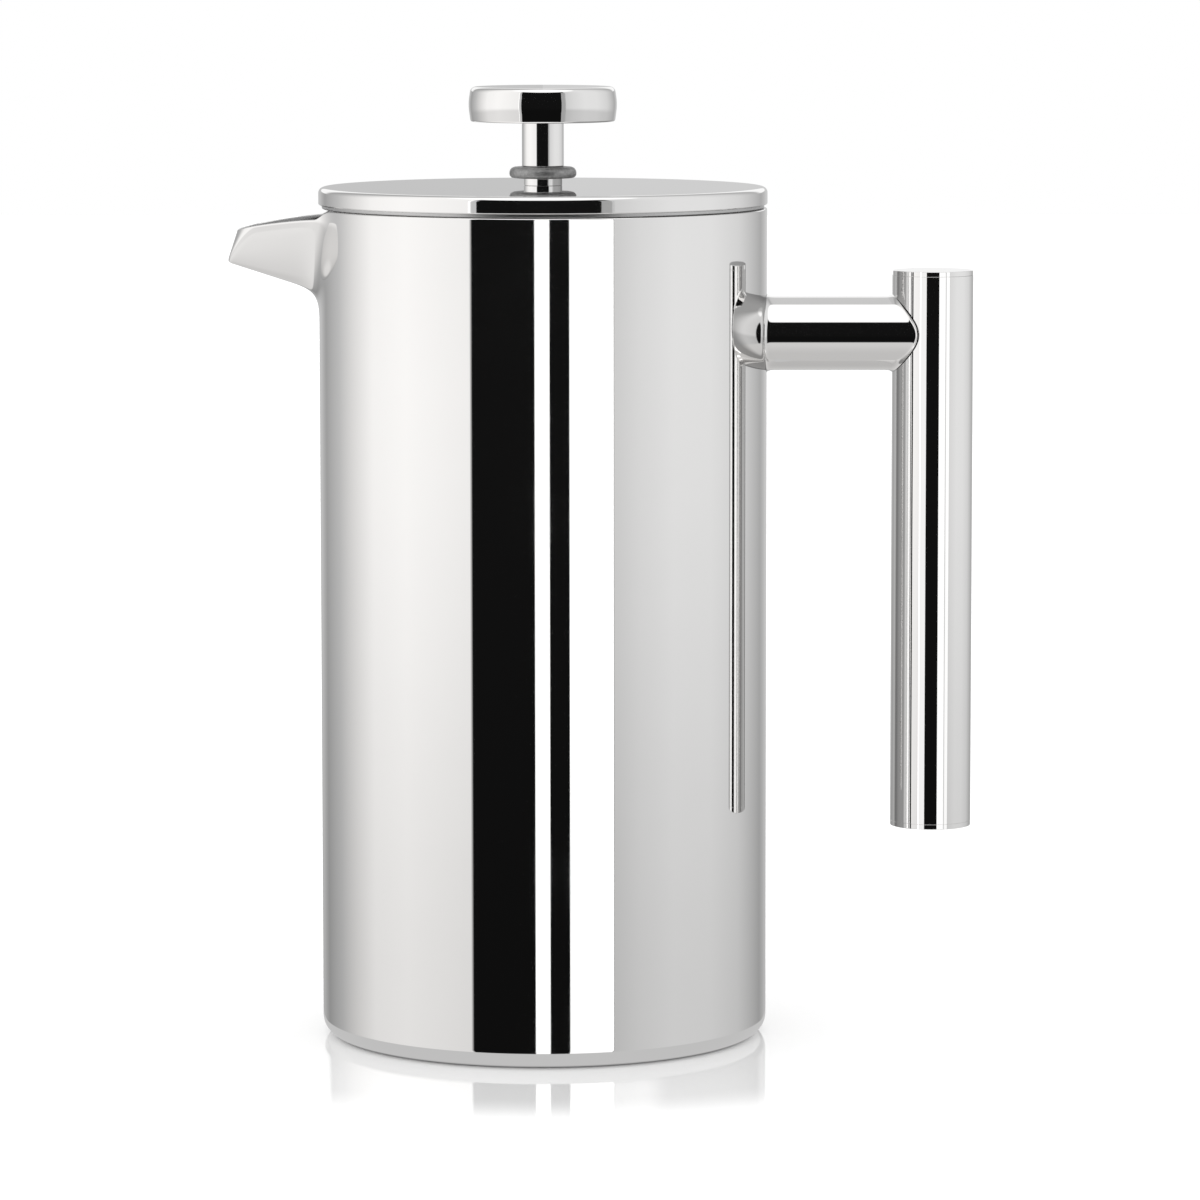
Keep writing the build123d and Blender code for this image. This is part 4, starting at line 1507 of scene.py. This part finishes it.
    def wall_stops(self) -> list[tuple[float, tuple]]:
        """Tones round the room: a dark flag in front, pale walls that fall off to the back.

        Returns:
            (position, colour) stops of the ramp round the room.
        """
        tones = [
            (-180, 0.56, 0.0),
            (-163, 0.54, 0.0),
            (-150, 0.36, 0.0),
            (-130, 0.53, 0.0),
            (-114, 0.76, 0.01),
            (-98, 0.97, 0.01),
            (-75, 1.02, 0.01),
            (-50, 0.96, 0.01),
            (-37.8, 0.93, 0.01),
            (-37.8 + self.edge, 0.006, 0.0),
            (35.6 - self.edge, 0.006, 0.0),
            (35.6, 0.65, 0.0),
            (50, 0.74, 0.0),
            (70, 0.81, 0.0),
            (95, 0.8, 0.0),
            (120, 0.7, 0.0),
            (150, 0.42, 0.0),
            (165, 0.6, 0.0),
            (180, 0.63, 0.0),
        ]
        return [(angle / 360 + 0.5, grey(tone, warmth)) for angle, tone, warmth in tones]

    @staticmethod
    def floor_stops() -> list[tuple[float, tuple]]:
        """Tones of the floor as polished metal sees it.

        Returns:
            (position, colour) stops of the ramp round the room.
        """
        tones = [(-180, 0.58), (-110, 0.8), (-60, 0.84), (-20, 0.66), (30, 0.64), (110, 0.68), (180, 0.58)]
        return [(angle / 360 + 0.5, grey(tone, 0.01)) for angle, tone in tones]

    def make_floor(self) -> None:
        """Make the pale glossy floor, and the near part of it that only the polished foot mirrors."""
        half = self.floor_half
        floor = self.sheet_mesh("floor", half, 2)
        material, nodes = Nodes.of_material("pale_floor")
        place = nodes.add("ShaderNodeTexCoord").outputs["Object"]
        speck = nodes.add("ShaderNodeTexNoise", {"Vector": place, "Scale": 3.0, "Detail": 2.0})
        tint = nodes.ramp(speck.outputs[0], [(0.3, grey(0.965)), (0.7, grey(0.985))])
        reach = nodes.add("ShaderNodeVectorMath", {0: place}, operation="LENGTH").outputs["Value"]
        matt = nodes.add("ShaderNodeBsdfDiffuse", {"Color": tint})
        gloss = nodes.add("ShaderNodeBsdfGlossy", {"Color": grey(1.0), "Roughness": 0.04})
        share = nodes.step(reach, 0.085, 0.118, self.gloss, 0.02)
        sheen = nodes.add("ShaderNodeMixShader", {0: share, 1: matt.outputs[0], 2: gloss.outputs[0]})
        nodes.add("ShaderNodeOutputMaterial", {0: sheen.outputs[0]})
        floor.data.materials.append(material)
        floor.visible_glossy = False
        sunk = -0.1
        section = rounded_outline([(self.mirror_floor, sunk, 0), (0, sunk, 0)], closed=False)
        near = turned("floor_under_foot", section)
        near.visible_camera = False
        near.visible_diffuse = False
        near.visible_shadow = False
        near.visible_transmission = False
        # the near disc glows with painted light, with a painted shadow under the foot
        near.data.materials.append(self.painted_floor_glow())

    def painted_floor_glow(self) -> bpy.types.Material:
        """Painted light of the floor close to the foot, for the foot to mirror: a pale glow, and a painted
        shadow where the foot shades it.

        Returns:
            The material.
        """
        material, nodes = Nodes.of_material("painted_floor_near_foot")
        place = nodes.add("ShaderNodeTexCoord").outputs["Object"]
        reach = nodes.add("ShaderNodeVectorMath", {0: place}, operation="LENGTH").outputs["Value"]
        # painted shadow within 48 mm of the axis, under the foot, inside the pale painted glow
        tone = nodes.step(reach, 0.0482, 0.0505, 0.05, 0.56)
        emission = nodes.add("ShaderNodeEmission", {"Color": grey(1.0), "Strength": tone})
        nodes.add("ShaderNodeOutputMaterial", {0: emission.outputs[0]})
        material.cycles.emission_sampling = "NONE"
        return material

    @staticmethod
    def sheet_mesh(name: str, half: float, steps: int) -> bpy.types.Object:
        """Make a level square, from -half to half on both axes, as a grid of points.

        Args:
            name: the sheet's name.
            half: half of its width, in metres.
            steps: points along each side.
        Returns:
            The sheet.
        """
        line = np.linspace(-half, half, steps) / MM
        x, y = np.meshgrid(line, line, indexing="ij")
        points = np.stack([x, y, 0 * x], -1)
        normals = np.broadcast_to(np.array([0.0, 0.0, 1.0]), points.shape)
        return surface_mesh(name, points, normals, (False, False))

    def make_card(
        self, name: str, sector: Sector, strength: float, receivers: list[bpy.types.Object]
    ) -> None:
        """Make a bright card that only some pieces see.

        The card is a piece of a cylinder round the jug: azimuth goes across it and height is the
        distance times the tangent of the elevation.

        Args:
            name: the card's name.
            sector: the directions that it fills.
            strength: how bright it is.
            receivers: the pieces that see it.
        """
        azimuth = np.radians(np.linspace(sector.left, sector.right, 25))[:, None]
        elevation = np.radians(np.linspace(sector.low, sector.high, 9))[None, :]
        turn = azimuth + math.radians(self.facing) + 0 * elevation
        reach = self.card_distance / MM
        height = reach * np.tan(elevation) + self.card_middle + 0 * turn
        points = np.stack([reach * np.sin(turn), -reach * np.cos(turn), height], -1)
        normals = np.stack([-np.sin(turn), np.cos(turn), 0 * turn], -1)
        card = surface_mesh(name, points, normals, (False, False))
        material, nodes = Nodes.of_material(name)
        glow = nodes.add("ShaderNodeEmission", {"Color": grey(1.0), "Strength": strength})
        clear = nodes.add("ShaderNodeBsdfTransparent")
        both = nodes.add("ShaderNodeAddShader", {0: glow.outputs[0], 1: clear.outputs[0]})
        nodes.add("ShaderNodeOutputMaterial", {0: both.outputs[0]})
        material.cycles.emission_sampling = "NONE"
        card.data.materials.append(material)
        card.visible_camera = False
        card.visible_diffuse = False
        card.visible_shadow = False
        group = bpy.data.collections.new(name + "_sees")
        for piece in receivers:
            group.objects.link(piece)
        card.light_linking.receiver_collection = group


# ------------------------------------------------------------------ assembly


def main() -> None:
    """Build the press in order, then its studio."""
    logging.basicConfig(level=logging.INFO, format="%(message)s")
    shop = Workshop()
    Jug(shop).build()
    Handle(shop).build()
    Lid(shop).build()
    Knob(shop).build()
    Filter(shop).build()
    named = bpy.data.objects
    groups = {
        "jug": [named["jug_wall"], named["spout_trough"]],
        "top": [named["lid_shell"], named["knob_drum"], named["knob_stem_tube"], named["knob_underplate"]],
        "grip": [named["grip_tube"], named["grip_cap_top"], named["grip_cap_bottom"]],
        "grip_top": [named["grip_cap_top"]],
    }
    Studio().build(groups)


if __name__ == "__main__":
    main()
